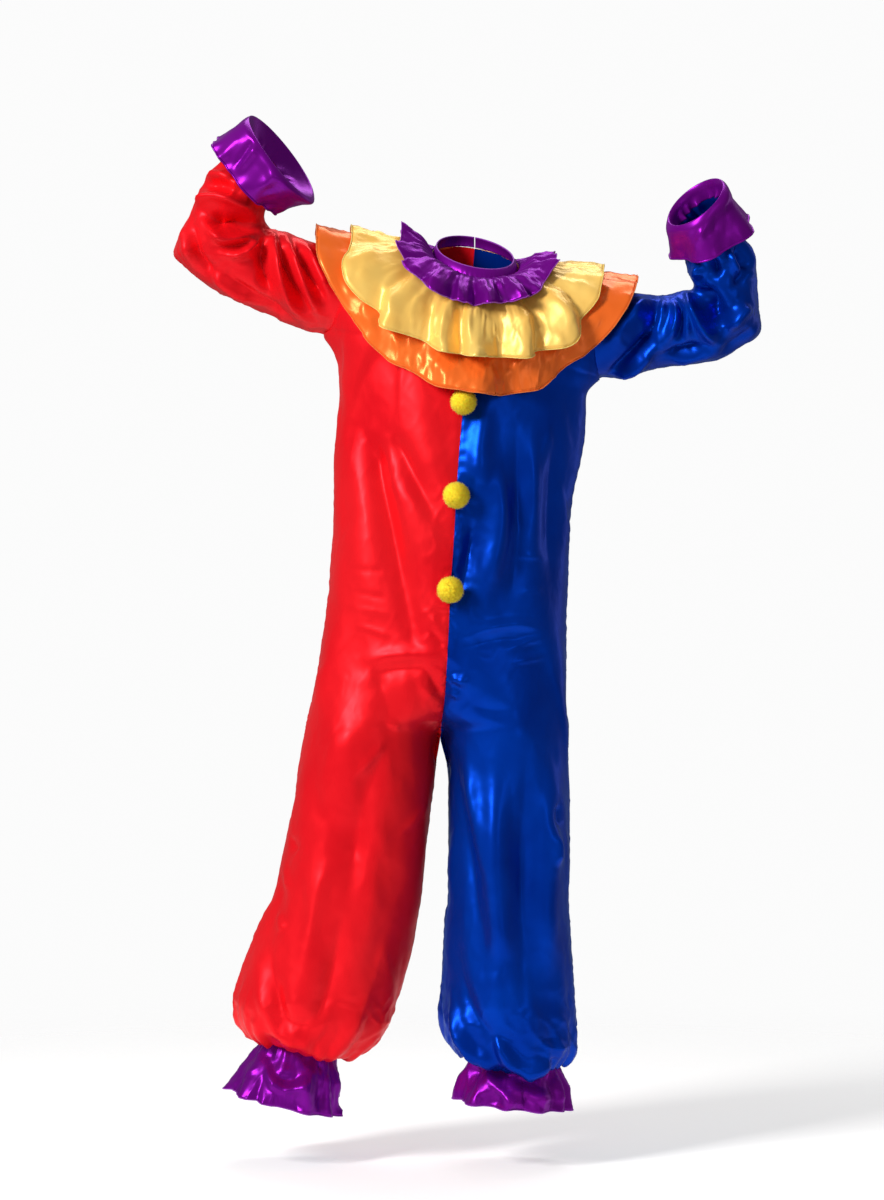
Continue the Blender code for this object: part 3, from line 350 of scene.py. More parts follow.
# Folds drawn as bent lines in the front view, on the front (-1) or the back (1). All is in millimetres: start,
# middle and end as x and z, height (ridges plus, troughs minus) and half width.
MM_PER_METRE = 1000
PANEL_FOLDS = {
    "right": (
        (-1, -197, -301, -163, -409, -101, -672, -14, 21), (-1, -225, -320, -200, -430, -150, -660, 3, 34),
        (-1, -147, -306, -113, -365, -52, -481, -7, 16), (-1, -160, -330, -125, -425, -70, -575, 3.5, 26),
        (-1, -186, -686, -120, -680, -56, -684, 5, 11), (-1, -190, -712, -130, -704, -75, -706, -5, 15),
        (-1, -88, -698, -67, -731, -53, -752, -4, 7), (-1, -98, -722, -76, -752, -60, -775, 3, 7),
        (-1, -84, -610, -64, -631, -50, -652, 3, 7), (-1, -76, -640, -62, -655, -50, -671, -3, 6),
        (-1, -201, -602, -172, -607, -143, -614, 1.4, 5), (-1, -201, -631, -170, -640, -138, -652, 1.4, 5),
        (-1, -209, -535, -180, -538, -151, -539, -1.2, 5), (-1, -205, -575, -178, -580, -150, -589, -1.2, 5),
        (-1, -180, -702, -155, -752, -143, -830, -7, 26), (-1, -245, -720, -235, -830, -262, -960, 7, 34),
        (-1, -152, -836, -193, -946, -227, -1161, -8, 28),
        (-1, -258, -1041, -272, -1111, -298, -1262, 6, 13),
        (-1, -167, -930, -177, -1072, -196, -1230, 6, 18),
        (-1, -228, -1130, -246, -1232, -275, -1310, -8, 15),
        (-1, -373, -1211, -330, -1330, -263, -1305, 10, 12),
        (-1, -352, -1170, -322, -1290, -270, -1285, -6, 11),
        (-1, -300, -1318, -240, -1352, -172, -1230, 10, 12),
        (-1, -333, -1030, -331, -1060, -322, -1085, 4, 8),
        (-1, -345, -1110, -338, -1135, -328, -1150, 4, 8), (-1, -320, -985, -314, -1005, -306, -1015, -4, 8),
        (-1, -203, -886, -178, -858, -152, -826, 3, 8), (-1, -122, -980, -98, -955, -78, -928, 3, 8),
        (-1, -152, -795, -137, -801, -122, -805, 2, 6), (-1, -315, -960, -340, -1080, -372, -1200, -6, 24),
        (1, -190, -260, -160, -400, -110, -600, -9, 24), (1, -120, -280, -95, -380, -70, -520, 6, 20),
        (1, -225, -420, -210, -520, -215, -640, 6, 24), (1, -230, -690, -150, -715, -65, -700, 6, 13),
        (1, -220, -720, -150, -748, -80, -745, -6, 14), (1, -200, -780, -160, -900, -170, -1060, -8, 26),
        (1, -255, -800, -250, -980, -290, -1220, 7, 26), (1, -205, -960, -215, -1120, -250, -1290, 6, 18),
        (1, -235, -1050, -250, -1180, -290, -1310, -8, 17),
        (1, -330, -1050, -345, -1160, -365, -1270, -6, 20),
        (1, -370, -1230, -310, -1345, -235, -1300, 6, 12),
    ),
    "left": (
        (-1, 18, -245, 7, -335, 2, -410, 5, 18), (-1, -1, -435, -14, -526, -36, -611, -9, 14),
        (-1, 33, -360, 40, -480, -3, -600, 8, 22), (-1, 68, -300, 72, -480, 50, -600, -9, 20),
        (-1, 135, -300, 131, -430, 128, -560, -9, 22), (-1, 100, -310, 95, -430, 92, -560, 5, 22),
        (-1, 65, -514, 100, -514, 132, -518, 1.4, 5), (-1, 74, -576, 95, -572, 118, -573, 1.2, 5),
        (-1, -34, -655, 57, -629, 112, -643, 3, 9), (-1, -30, -676, 40, -655, 90, -664, -3, 9),
        (-1, 49, -673, 82, -660, 118, -652, 2, 6), (-1, 62, -692, 90, -688, 122, -681, 1.8, 6),
        (-1, -44, -716, -28, -722, -8, -731, 3, 7), (-1, -46, -742, -34, -746, -20, -754, 2, 6),
        (-1, -10, -760, 30, -775, 75, -772, -3, 12), (-1, -46, -826, -22, -986, 28, -1211, -8, 18),
        (-1, -20, -840, -2, -960, 20, -1080, 5, 14), (-1, 34, -860, 38, -1061, 50, -1262, 8, 26),
        (-1, 89, -830, 79, -1111, 84, -1320, -8, 22), (-1, 128, -880, 120, -1060, 128, -1240, 6, 18),
        (-1, 124, -980, 131, -1010, 129, -1045, 4, 8), (-1, 140, -930, 137, -955, 141, -975, -4, 8),
        (-1, -45, -1255, -10, -1350, 62, -1368, 9, 11), (-1, 20, -1300, 80, -1375, 150, -1345, 9, 11),
        (-1, -30, -1180, 0, -1290, 60, -1330, -6, 14), (-1, 103, -1352, 125, -1366, 150, -1372, -3, 6),
        (-1, 112, -1335, 134, -1345, 160, -1345, 3, 6), (1, 165, -330, 120, -430, 60, -600, -9, 24),
        (1, 80, -300, 50, -400, 10, -520, 6, 20), (1, 125, -400, 128, -520, 122, -630, 6, 22),
        (1, -10, -700, 60, -716, 130, -690, 3.2, 18), (1, 0, -732, 60, -750, 120, -726, -5, 18),
        (1, 100, -780, 60, -940, 50, -1120, -8, 24), (1, 0, -820, 0, -1000, 20, -1230, 7, 22),
        (1, 120, -860, 112, -1060, 118, -1280, 7, 22), (1, 40, -1080, 60, -1220, 72, -1330, -7, 17),
        (1, -40, -1250, 20, -1375, 120, -1350, 6, 12),
    ),
}
SLEEVE_FOLDS = {
    "right": (
        (-1, -464, 73, -421, 48, -366, 51, -13, 13), (-1, -474, 70, -436, 94, -375, 64, 8, 8),
        (-1, -458, 52, -420, 24, -358, 43, 8, 9), (-1, -479, 60, -468, -10, -424, -36, -7, 8),
        (-1, -424, -36, -370, -74, -304, -112, -5, 7), (-1, -430, -1, -392, 2, -360, 30, 6, 8),
        (-1, -440, 12, -410, 12, -380, 24, -4, 7), (-1, -355, 36, -362, -20, -342, -90, -8, 9),
        (-1, -344, 33, -330, -41, -292, -108, 7, 8), (-1, -336, 33, -315, -41, -275, -108, -7, 8),
        (-1, -325, 30, -296, -41, -259, -104, 7, 8), (-1, -312, 30, -283, -32, -249, -93, -6, 8),
        (-1, -301, 28, -270, -26, -239, -85, 5, 9), (-1, -455, -20, -420, -55, -360, -85, 5, 10),
        (-1, -490, 60, -492, 20, -480, -10, 4, 10), (-1, -470, 110, -440, 118, -405, 100, -6, 10),
        (-1, -460, 130, -430, 128, -395, 105, 5, 8), (1, -470, 80, -430, 40, -360, 40, -10, 14),
        (1, -450, 30, -410, 0, -355, 20, 8, 11), (1, -350, 30, -350, -30, -320, -90, -7, 10),
        (1, -325, 30, -310, -40, -275, -100, 7, 10), (1, -300, 20, -280, -30, -255, -85, -6, 10),
        (1, -490, 40, -465, -15, -410, -50, -6, 9), (1, -470, 110, -440, 110, -400, 90, 6, 10),
    ),
    "left": (
        (-1, 456, 31, 469, 0, 471, -31, 5, 8), (-1, 440, 16, 451, -10, 466, -36, -6, 7),
        (-1, 427, 5, 435, -21, 456, -41, 5, 7), (-1, 404, -8, 404, -26, 415, -44, -6, 7),
        (-1, 382, -18, 378, -31, 385, -44, 5, 7), (-1, 380, -50, 402, -95, 424, -125, -13, 14),
        (-1, 360, -64, 378, -118, 415, -148, 9, 8), (-1, 425, -136, 444, -106, 460, -85, 7, 10),
        (-1, 347, -76, 358, -113, 351, -149, 6, 7), (-1, 335, -78, 340, -118, 318, -152, 6, 7),
        (-1, 341, -78, 350, -115, 334, -152, -5, 6), (-1, 312, -72, 300, -126, 280, -172, -9, 9),
        (-1, 322, -68, 310, -111, 290, -158, 6, 8), (-1, 217, -203, 262, -180, 312, -111, -8, 8),
        (-1, 226, -205, 270, -192, 312, -150, 6, 8), (-1, 300, -68, 262, -110, 215, -168, 6, 15),
        (-1, 318, -175, 354, -164, 390, -155, -6, 7), (-1, 330, -190, 372, -172, 425, -158, 4, 8),
        (-1, 455, -20, 462, -32, 470, -44, 4, 8), (-1, 435, -60, 450, -40, 462, -15, -5, 10),
        (-1, 470, -120, 445, -148, 405, -165, -4, 10), (1, 380, -50, 400, -95, 430, -125, -11, 15),
        (1, 355, -66, 375, -115, 410, -145, 8, 10), (1, 425, -130, 450, -100, 470, -70, 8, 11),
        (1, 335, -76, 335, -118, 310, -155, 7, 10), (1, 312, -72, 300, -126, 275, -170, -8, 10),
        (1, 225, -195, 270, -170, 312, -110, -6, 10), (1, 325, -178, 365, -165, 410, -150, -5, 9),
    ),
}
CUFF_FOLDS = {
    "right": (
        (-1, -412, 136, -388, 166, -364, 196, -4, 6), (-1, -404, 128, -380, 158, -356, 188, 4, 7),
        (-1, -372, 100, -345, 120, -318, 140, 3, 9), (-1, -430, 158, -412, 176, -392, 198, 2, 8),
        (1, -400, 130, -376, 160, -352, 190, -3, 7), (1, -370, 105, -345, 125, -320, 145, 3, 8),
    ),
    "left": (
        (-1, 372, 10, 378, 30, 372, 52, 3, 7), (-1, 420, 60, 426, 80, 424, 100, -3, 7),
        (-1, 395, 25, 402, 45, 400, 68, -2, 7), (1, 420, 50, 430, 70, 432, 95, 3, 8),
        (1, 390, 20, 398, 40, 398, 60, -3, 7),
    ),
}
# Short swags of the ankle ruffles
ANKLE_SWAGS = {
    "right": (
        (-1, -359, -1357, -320, -1404, -275, -1367, -5, 7),
        (-1, -365, -1366, -321, -1418, -268, -1374, 5, 8),
        (-1, -394, -1416, -341, -1452, -270, -1428, -4, 8),
        (-1, -262, -1385, -256, -1420, -262, -1455, -4, 6),
        (-1, -300, -1385, -290, -1425, -296, -1462, 4, 9), (1, -350, -1360, -310, -1405, -265, -1370, -4, 8),
        (1, -380, -1420, -330, -1450, -270, -1425, 4, 9),
    ),
    "left": (
        (-1, 4, -1376, -4, -1402, -10, -1430, -5, 7), (-1, 16, -1383, 50, -1425, 94, -1455, 5, 9),
        (-1, 46, -1386, 90, -1408, 138, -1412, -5, 8), (-1, 50, -1398, 92, -1424, 140, -1430, 4, 8),
        (-1, 140, -1380, 152, -1410, 160, -1440, 4, 7), (1, 10, -1385, 60, -1430, 120, -1390, -4, 9),
        (1, 30, -1440, 70, -1450, 110, -1440, 4, 10),
    ),
}
# Ridges of the collar's tiers
TIER_RIDGES = {
    "collar_yellow": (
        (-1, -163, 24, -184, -17, -177, -72, 5, 14), (-1, -115, -28, -146, -65, -129, -113, 5, 12),
        (-1, -74, -65, -101, -100, -95, -134, 4, 10), (-1, -46, -83, -57, -127, -60, -165, 4, 8),
        (-1, -9, -96, -16, -134, -12, -169, 4.5, 9), (-1, 29, -100, 29, -134, 36, -172, 4, 10),
        (-1, 74, -93, 95, -127, 112, -162, 5, 10), (-1, 112, -69, 146, -100, 174, -127, 4.5, 11),
        (-1, 136, -38, 181, -58, 208, -86, 5, 12), (-1, 139, -3, 181, -14, 218, -28, 4, 12),
        (1, -120, 20, -150, 0, -180, -40, 5, 12), (1, -60, 5, -70, -40, -80, -90, 5, 11),
        (1, 40, 0, 50, -50, 50, -100, 5, 12), (1, 90, 0, 125, -40, 150, -80, 5, 12),
    ),
    "collar_orange": (
        (-1, -60, -203, -34, -186, -12, -192, 2.2, 5), (-1, -90, -175, -68, -190, -46, -222, 2.2, 5),
        (-1, -1, -203, 16, -182, 45, -178, 2.2, 5), (-1, 51, -215, 74, -186, 105, -172, 2.4, 6),
        (-1, 112, -196, 139, -165, 176, -152, 2.4, 6), (-1, 178, -150, 205, -114, 226, -102, 2.4, 6),
        (-1, -195, -86, -178, -110, -170, -139, 2.4, 6), (-1, -226, -38, -217, -60, -205, -82, 2.4, 6),
        (-1, -147, -140, -127, -158, -115, -180, 2.2, 5), (1, -120, -140, -90, -150, -60, -130, 2.4, 6),
        (1, 30, -140, 70, -150, 110, -130, 2.4, 6),
    ),
    "neck_ruffle": (),
}

# How fast a fold comes to its full height as the cloth turns to its side, and its share where the cloth is
# edge-on. FOLD_END is the share of the line over which it fades to FOLD_END_HEIGHT. It widens along the line.
FOLD_FACING = 1.6
FOLD_WRAP = 0.25
FOLD_END = 0.35
FOLD_END_HEIGHT = 0.15
FOLD_START_WIDTH = 0.8
FOLD_WIDENING = 0.5
FOLD_BLUNT = 0.02
FOLD_REACH = 3
LINE_POINTS = 14

# Folds of the ankle ruffles: direction round the ankle in degrees, half width, height, and how far up they run
ANKLE_FOLD_COLUMNS = ("direction", "half_width", "height", "reach")
ANKLE_FOLDS = {
    "right": (
        (-170, 15, 0.014, 1.0), (-137, 19, 0.016, 0.8), (-101, 16, 0.013, 1.0), (-68, 18, 0.017, 0.9),
        (-37, 12, 0.012, 0.7), (-12, 15, 0.016, 1.0), (21, 18, 0.014, 0.8), (57, 17, 0.017, 1.0),
        (89, 14, 0.012, 0.9), (121, 18, 0.016, 1.0), (156, 16, 0.014, 0.8),
    ),
    "left": (
        (-165, 17, 0.015, 1.0), (-128, 19, 0.013, 0.8), (-97, 12, 0.014, 1.0), (-66, 18, 0.015, 0.9),
        (-35, 13, 0.012, 0.7), (-8, 16, 0.015, 1.0), (26, 18, 0.015, 0.9), (60, 16, 0.013, 1.0),
        (92, 17, 0.015, 0.8), (125, 16, 0.013, 1.0), (157, 15, 0.014, 0.9),
    ),
}
ANKLE_SWAY = 6
ANKLE_SWAY_RUN = 3.0
ANKLE_FOLD_SHARE = 0.72
ANKLE_FOLD_GROWTH = 0.6
ANKLE_DRAW_IN = 0.0050
ANKLE_DROP = 0.2
ANKLE_EDGE_RADIUS = 0.001

# Small forms of the ankle ruffles. Each start is the share of the height at which the form is at its full size.
ANKLE_CRINKLES = ((0.05, 0.0030, 31),)
ANKLE_CRINKLE_START = 0.3
ANKLE_GATHERS = 26
ANKLE_GATHER_SEED = 33
ANKLE_GATHER_HEIGHT = 0.0035
ANKLE_GATHER_REACH = 0.22
ANKLE_GATHER_START = 0.03
ANKLE_SWAG_FADE = 0.15
ANKLE_SWAG_HEM = 0.3
ANKLE_CRUMPLE = 0.5
ANKLE_CRUMPLE_SEED = 140
ANKLE_CRUMPLE_START = 0.2

# Small forms of the cuffs, which start where the cuff turns back, and the curl of their free edges
CUFF_CRINKLES = {
    "right": ((0.075, 0.0016, 95), (0.03, 0.0003, 95)),
    "left": ((0.075, 0.0016, 94), (0.03, 0.0003, 95)),
}
CUFF_OUTSIDE_START = 0.45
CUFF_OUTSIDE_FADE = 0.1
CUFF_EDGE_RADIUS = 0.0019
OUTER_ROWS = 8
CURLS = 15
CURL_SWAY = 1.6
CURL_START = 0.8
CURL_HEIGHTS = {"right": 0.0017, "left": 0.0007}

# How each tier's folds look: how much higher they stand than in the plain solid, how sharp the creases
# between them are (under 1 is sharper), how far the crests lean to one side, the height and number of wrinkles
# down the cloth, the height and reach of the gathers at the neck, and the share of the crumples
TIER_LOOK_COLUMNS = (
    "growth", "crease", "lean", "wrinkle", "wrinkle_count", "gather", "gather_reach", "crumple",
)
TIER_LOOKS = {
    "collar_orange": (1.2, 0.9, 0.15, 0.0012, 38, 0.0, 0.02, 0.85),
    "collar_yellow": (1.6, 0.62, 0.30, 0.0036, 34, 0.0045, 0.12, 0.8),
    "neck_ruffle": (1.7, 0.60, 0.40, 0.0020, 60, 0.0075, 0.045, 0.70),
}
LEAN_STEP = 2.7
LEAN_START = 0.8

# How far the crests of a tier sway between neck and hem, and the share of their height left at the sides
SWAY_DEGREES = 4.0
SWAY_RUN = 2.2
SWAY_TURNS = 3
SIDE_GROWTH = 0.8

# Small forms of the tiers. Each start is the distance from the neck at which the form is at its full size.
TIER_GATHERS = 52
GATHER_SEED = 60
GATHER_START = 0.006
WRINKLE_SEED = 66
WRINKLE_SHIFT = 0.02
WRINKLE_SINK = 0.4
WRINKLE_START = 0.05
RIDGE_PITCH = 0.05
RIDGE_SEED = 70
RIDGE_STRETCH = (1.0, 1.0, 0.5)
TIER_CRINKLES = ((0.045, 0.0008, 70), (0.02, 0.0003, 80))
CRINKLE_START = 0.04
TIER_CRUMPLE_SEED = 150
HEM_RADIUS = 0.0009
HEM_RISE = 0.0002

# Waves of the seeded unevenness: how many, the spread of their pitch, and how they bend each other
WAVE_COUNT = 9
WAVE_PITCHES = (0.7, 1.5)
WAVE_WARP = 0.9
WARP_KEPT = 0.6
WAVE_SUM = 4.2

# Soft undulation of all the cloth: pitch, height and seed. Puckers beside the seams, and the seams' grooves.
UNDULATION = ((0.17, 0.0042, 11), (0.085, 0.0020, 12))
UNDULATION_STRETCH = (1.0, 1.0, 0.45)
PUCKER_SEED = 40
PUCKER_PITCH = 0.021
PUCKER_HEIGHT = 0.0006
PUCKER_PEAK = 0.009
PUCKER_SLANT = 0.8
PUCKER_SWING = 2.2
PUCKER_SWING_RATES = (14, 22)
PUCKER_PATCH_RATES = (7, 11)
PUCKER_PATCHINESS = 0.9
PUCKER_LEAST = 0.25
SEAM_DEPTH = 0.0012
SEAM_HALF_WIDTH = 0.0035

# Gathers at the ankle elastics and the ends of the sleeves
GATHER_BENDS = (1, 2, 3, 5)
GATHER_BEND_SIZES = (0.4, 1.1)
GATHER_UNEVENNESS = 0.3
GATHER_SHARPNESS = 1.3
PUFF_GATHERS = 23
PUFF_SEEDS = {"right": 5, "left": 6}
PUFF_GATHER_HEIGHT = 0.006
PUFF_GATHER_START = 0.02
PUFF_GATHER_REACH = 0.10
PUFF_LEAST = 0.35
PUFF_HEM = 0.001
PUFF_SETTLE = 0.03
LONG_GATHERS = 9
LONG_GATHER_SEEDS = {"right": 15, "left": 16}
LONG_GATHER_HEIGHT = 0.006
LONG_GATHER_REACH = 0.24
SLEEVE_GATHERS = 13
SLEEVE_SEEDS = {"right": 25, "left": 26}
SLEEVE_GATHER_HEIGHT = 0.010
SLEEVE_GATHER_REACH = 0.085
SLEEVE_PUFF_REACH = 0.02
SLEEVE_PUFF_SHARE = 0.55

# Rows of a sleeve that blend into its panels' folds, and that are drawn onto their edge
ARMHOLE_BLEND_ROWS = 10
WELD_ROWS = 8

# Crumples: a net of small ridges, strongest beside the centre seam under the chest, over the ankles and on
# the sleeves
CRUMPLE_SEED = 120
CRUMPLE_PITCH = 0.055
CRUMPLE_HEIGHT = 0.0042
CRUMPLE_STRETCH = (1.0, 1.0, 0.8)
CRUMPLE_SHARPNESS = 3
CRUMPLE_SINK = 0.3
FINE_CRUMPLE_SHARE = 0.35
FINE_CRUMPLE_STRETCH = (1.0, 1.0, 0.9)
CRUMPLE_TOP = -0.33
CRUMPLE_SEAM_END = -0.95
CRUMPLE_ANKLE_TOP = -1.20
CRUMPLE_FADE = 0.12
CRUMPLE_SEAM_SHARE = 0.9
CRUMPLE_SEAM_REACH = 0.034
CRUMPLE_SIDE_SHARE = 0.35
CRUMPLE_SIDE_REACH = 0.02
CRUMPLE_ANKLE_SHARE = 0.55
CRUMPLE_LEAST = 0.10
SLEEVE_CRUMPLE = 0.45

# How much higher all the drawn folds stand than their tables say, and the sleeves' on top of that
FOLD_GROWTH = 1.8
SLEEVE_FOLD_GROWTH = 1.65

# The fall of a fold beside its line: 2 is a round hill, less is sharper along the line. Ridges of the panels
# stand at their own share on each half.
TROUGH_FALL = 1.4
RIDGE_FALL = 1.9
RIDGE_SHARES = {"right": 0.6, "left": 1.5}

# Cloth thickness as shown, the map of the narrow strips along its edges, and the thread tubes
THIN_CLOTH = 0.0007
STRIP_MAP = ((0, 0), (0.001, 0), (0.001, 0.001), (0, 0.001))
TUBE_SIDES = 5
TUBE_SIDEWAYS = (0.13, 0.21, 1.0)

HALVES = {"right": ("red", -1), "left": ("blue", 1)}

# Base colour, the tone it drifts to, roughness, metallic share, crinkle strength and shine
FINISHES = {
    "red": ((0.89, 0.010, 0.017), (0.72, 0.0, 0.008), 0.38, 0.32, 0.20, 0.3),
    "blue": ((0.0, 0.043, 0.45), (0.0, 0.012, 0.22), 0.32, 0.55, 0.26, 0.2),
    "purple": ((0.22, 0.004, 0.32), (0.10, 0.001, 0.16), 0.32, 0.50, 0.15, 0.25),
    "yellow": ((1.0, 0.665, 0.17), (1.0, 0.46, 0.055), 0.35, 0.18, 0.25, 0.5),
    "orange": ((1.0, 0.18, 0.024), (0.90, 0.125, 0.009), 0.30, 0.22, 0.50, 0.55),
}
ROUGHNESS_SPREAD = 0.06
TINT_LEAST = 0.2
TINT_POWER = 0.35
THREADS_PER_METRE = (1500.0, 260.0, 1.0)
THREADS = {"orange": (1.0, 0.24, 0.03), "yellow": (1.0, 0.78, 0.20), "purple": (0.33, 0.03, 0.50)}
THREAD_DEPTH = 0.7
THREAD_SCALE = 900.0
YARN = ((1.0, 0.84, 0.03), (1.0, 0.70, 0.01), 260.0)


def named(columns, row):
    """One row of a table as a dictionary."""
    return dict(zip(columns, row))


def unit(vectors):
    """Vectors scaled to length 1, along the last axis."""
    return vectors / np.maximum(np.linalg.norm(vectors, axis=-1, keepdims=True), 1e-12)


def ease(value):
    """A soft step from 0 to 1."""
    value = np.clip(value, 0.0, 1.0)
    return value * value * (3 - 2 * value)


def undulation(points, pitch, seed, stretch=(1.0, 1.0, 1.0)):
    """A smooth field between about -1 and 1, made of waves in mixed directions."""
    random = np.random.default_rng(seed)
    total = np.zeros(points.shape[:-1])
    scaled = points * np.array(stretch)
    warp = np.zeros(points.shape[:-1])
    for _ in range(WAVE_COUNT):
        direction = unit(random.normal(size=3)) * 2 * math.pi / (pitch * random.uniform(*WAVE_PITCHES))
        wave = np.sin(scaled @ direction + random.uniform(0, 2 * math.pi) + WAVE_WARP * warp)
        warp = WARP_KEPT * warp + wave
        total += wave
    return total / WAVE_SUM


def column_shares():
    """Where the columns of a panel lie, from the centre seam (0) to the side seam (1), closer at both."""
    even = [number / COLUMN_CELLS for number in range(COLUMN_CELLS + 1)]
    return np.array(sorted(even + list(EDGE_COLUMNS) + [1 - share for share in EDGE_COLUMNS]))


SHARES = column_shares()


def neck_point(angle):
    """The neckline in a direction, in radians from the front towards the left side."""
    height = NECK_MIDDLE - NECK_FRONT_DROP * np.cos(angle) - NECK_SIDE_DROP * np.sin(angle)
    return np.stack((NECK_HALF_WIDTH * np.sin(angle), -NECK_HALF_DEPTH * np.cos(angle), height), axis=-1)


def armhole_point(side, face, share):
    """The armhole from the tip of the shoulder (share 0) to the underarm (share 1), over one face."""
    hole = ARMHOLES[side]
    tip = np.array(hole["tip"])
    underarm = np.array(hole["underarm"])
    angle = math.pi * share
    point = (tip + underarm) / 2 + (tip - underarm) / 2 * math.cos(angle)
    return point + np.array((-HALVES[side][1] * hole["scoop"], face * hole["depth"], 0.0)) * math.sin(angle)


def trunk_row(side, face, row):
    """One section of half a trunk, from the centre seam to the side seam."""
    section = named(TRUNK_COLUMNS, row)
    reach = section["reach"]
    crotch = HALVES[side][1] * CROTCH_HALF_GAP if reach == 0 else 0.0
    width = section[side + "_x"] - section["seam_x"] - crotch
    middle = section["seam_x"] + crotch + width * (1 - reach) / 2
    half_width = width * (1 + reach) / 2
    start = math.acos((1 - reach) / (1 + reach))
    depth = section["front"] if face < 0 else section["back"]
    slope = math.tan(math.radians(section["tilt"]))
    angles = start + (math.pi - start) * SHARES
    x = middle - half_width * np.cos(angles)
    z = section["height"] - slope * (x - section["seam_x"])
    points = np.stack((x, face * depth * np.sin(angles), z), -1)
    if crotch:
        points[0] = (section["seam_x"], 0.0, section["height"])
    return points


def leg_row(side, face, row):
    """One section of half a leg, from the inseam to the side seam."""
    section = named(LEG_COLUMNS, row)
    middle = (section["outer_x"] + section["inner_x"]) / 2
    half_width = (section["outer_x"] - section["inner_x"]) / 2
    slope = math.tan(math.radians(section["tilt"]))
    angles = math.pi * SHARES
    x = middle - half_width * np.cos(angles)
    y = section["middle_y"] + face * section["half_depth"] * np.sin(angles)
    return np.stack((x, y, section["height"] - slope * (x - middle)), -1)


def yoke_rows(side, face, chest):
    """The panel from the neckline and the shoulder seam down to the chest, a patch between four edges."""
    outward = HALVES[side][1]
    front_angle = 0.0 if face < 0 else math.pi
    to_neck = np.clip(SHARES / NECK_COLUMN_SHARE, 0, 1)
    to_tip = np.clip((SHARES - NECK_COLUMN_SHARE) / (1 - NECK_COLUMN_SHARE), 0, 1)[:, None]
    top = neck_point((front_angle + (math.pi / 2 - front_angle) * to_neck) * outward)
    top = top * (1 - to_tip) + np.array(ARMHOLES[side]["tip"]) * to_tip
    bottom = np.array(chest)
    across = SHARES[:, None]
    rows = []
    for share in np.linspace(0.0, 1.0, COARSE_YOKE_ROWS + 1)[:-1]:
        bulge = np.array((0, face * CENTRE_BULGE, 0)) * math.sin(math.pi * share)
        inner = top[0] * (1 - share) + bottom[0] * share + bulge
        outer = armhole_point(side, face, share)
        corners = (top[0] * (1 - share) + bottom[0] * share) * (1 - across)
        corners = corners + (top[-1] * (1 - share) + bottom[-1] * share) * across
        rows.append(top * (1 - share) + bottom * share + inner * (1 - across) + outer * across - corners)
    return rows


def coarse_panel(side, face):
    """All the given sections of a panel, from the neck to the elastic."""
    trunk = [trunk_row(side, face, row) for row in TRUNK]
    legs = [leg_row(side, face, row) for row in LEGS[side]]
    return np.array(yoke_rows(side, face, trunk[0]) + trunk + legs)


def row_plan():
    """How far down each coarse row lies, and how many fine steps follow it: the same for all four panels."""
    grid = coarse_panel("left", -1)
    gaps = np.linalg.norm(np.diff(grid, axis=0), axis=-1).mean(axis=1)
    steps = np.maximum(np.round(gaps / ROW_PITCH), LEAST_STEPS).astype(int)
    steps[:COARSE_YOKE_ROWS] = YOKE_STEPS
    return running(gaps), steps


def smooth_rows(rows, places, steps):
    """Rows put between the given ones along smooth curves."""
    shape = (-1,) + (1,) * (rows.ndim - 1)
    gaps = np.diff(places)
    slopes = np.diff(rows, axis=0) / gaps.reshape(shape)
    before = gaps[:-1].reshape(shape)
    after = gaps[1:].reshape(shape)
    middle = (slopes[:-1] * after + slopes[1:] * before) / (before + after)
    tangents = np.concatenate([slopes[:1], middle, slopes[-1:]])
    out = []
    for number, count in enumerate(steps):
        for step in range(count):
            t = step / count
            out.append(
                rows[number] * (2 * t ** 3 - 3 * t ** 2 + 1)
                + tangents[number] * gaps[number] * (t ** 3 - 2 * t ** 2 + t)
                + rows[number + 1] * (3 * t ** 2 - 2 * t ** 3)
                + tangents[number + 1] * gaps[number] * (t ** 3 - t ** 2)
            )
    out.append(rows[-1])
    return np.array(out)


def ring_axes(along, lean, turn):
    """The unit vectors along a section's width and through its depth, for a tube that leans to the front."""
    along = unit(np.array((along[0], 0.0, along[1])))
    ahead = np.array((-along[2], 0.0, along[0])) * turn
    depth = ahead * math.sin(math.radians(lean)) + np.array((0.0, 1.0, 0.0)) * math.cos(math.radians(lean))
    return along, depth


def sleeve_section(side, row, around):
    """One closed section of a sleeve."""
    section = named(SLEEVE_COLUMNS, row)
    upper = np.array((section["upper_x"], section["middle_y"], section["upper_z"]))
    lower = np.array((section["lower_x"], section["middle_y"], section["lower_z"]))
    half = (upper - lower) / 2
    _, depth = ring_axes((half[0], half[2]), section["lean"], -HALVES[side][1])
    angles = np.linspace(0.0, 2 * math.pi, around, endpoint=False)[:, None]
    return (upper + lower) / 2 + half * np.cos(angles) - depth * section["half_depth"] * np.sin(angles)


def armhole_ring(grids, side):
    """The edge that a sleeve is sewn to, down the front panel and up the back one."""
    rows = YOKE_STEPS * COARSE_YOKE_ROWS + 1
    front = grids[f"front_{side}"][:rows, -1]
    back = grids[f"back_{side}"][:rows, -1]
    return np.concatenate([front, back[::-1][1:-1]])


def sleeve_grid(side, ring):
    """A sleeve from the panels' own armhole edge to its end."""
    rings = np.array([ring] + [sleeve_section(side, row, len(ring)) for row in SLEEVES[side]])
    gaps = np.linalg.norm(np.diff(rings.mean(axis=1), axis=0), axis=-1)
    gaps = np.maximum(gaps, SLEEVE_LEAST_GAP)
    steps = np.maximum(np.round(gaps / (ROW_PITCH * SLEEVE_PITCH_SHARE)), LEAST_STEPS).astype(int)
    return smooth_rows(rings, running(gaps), steps)


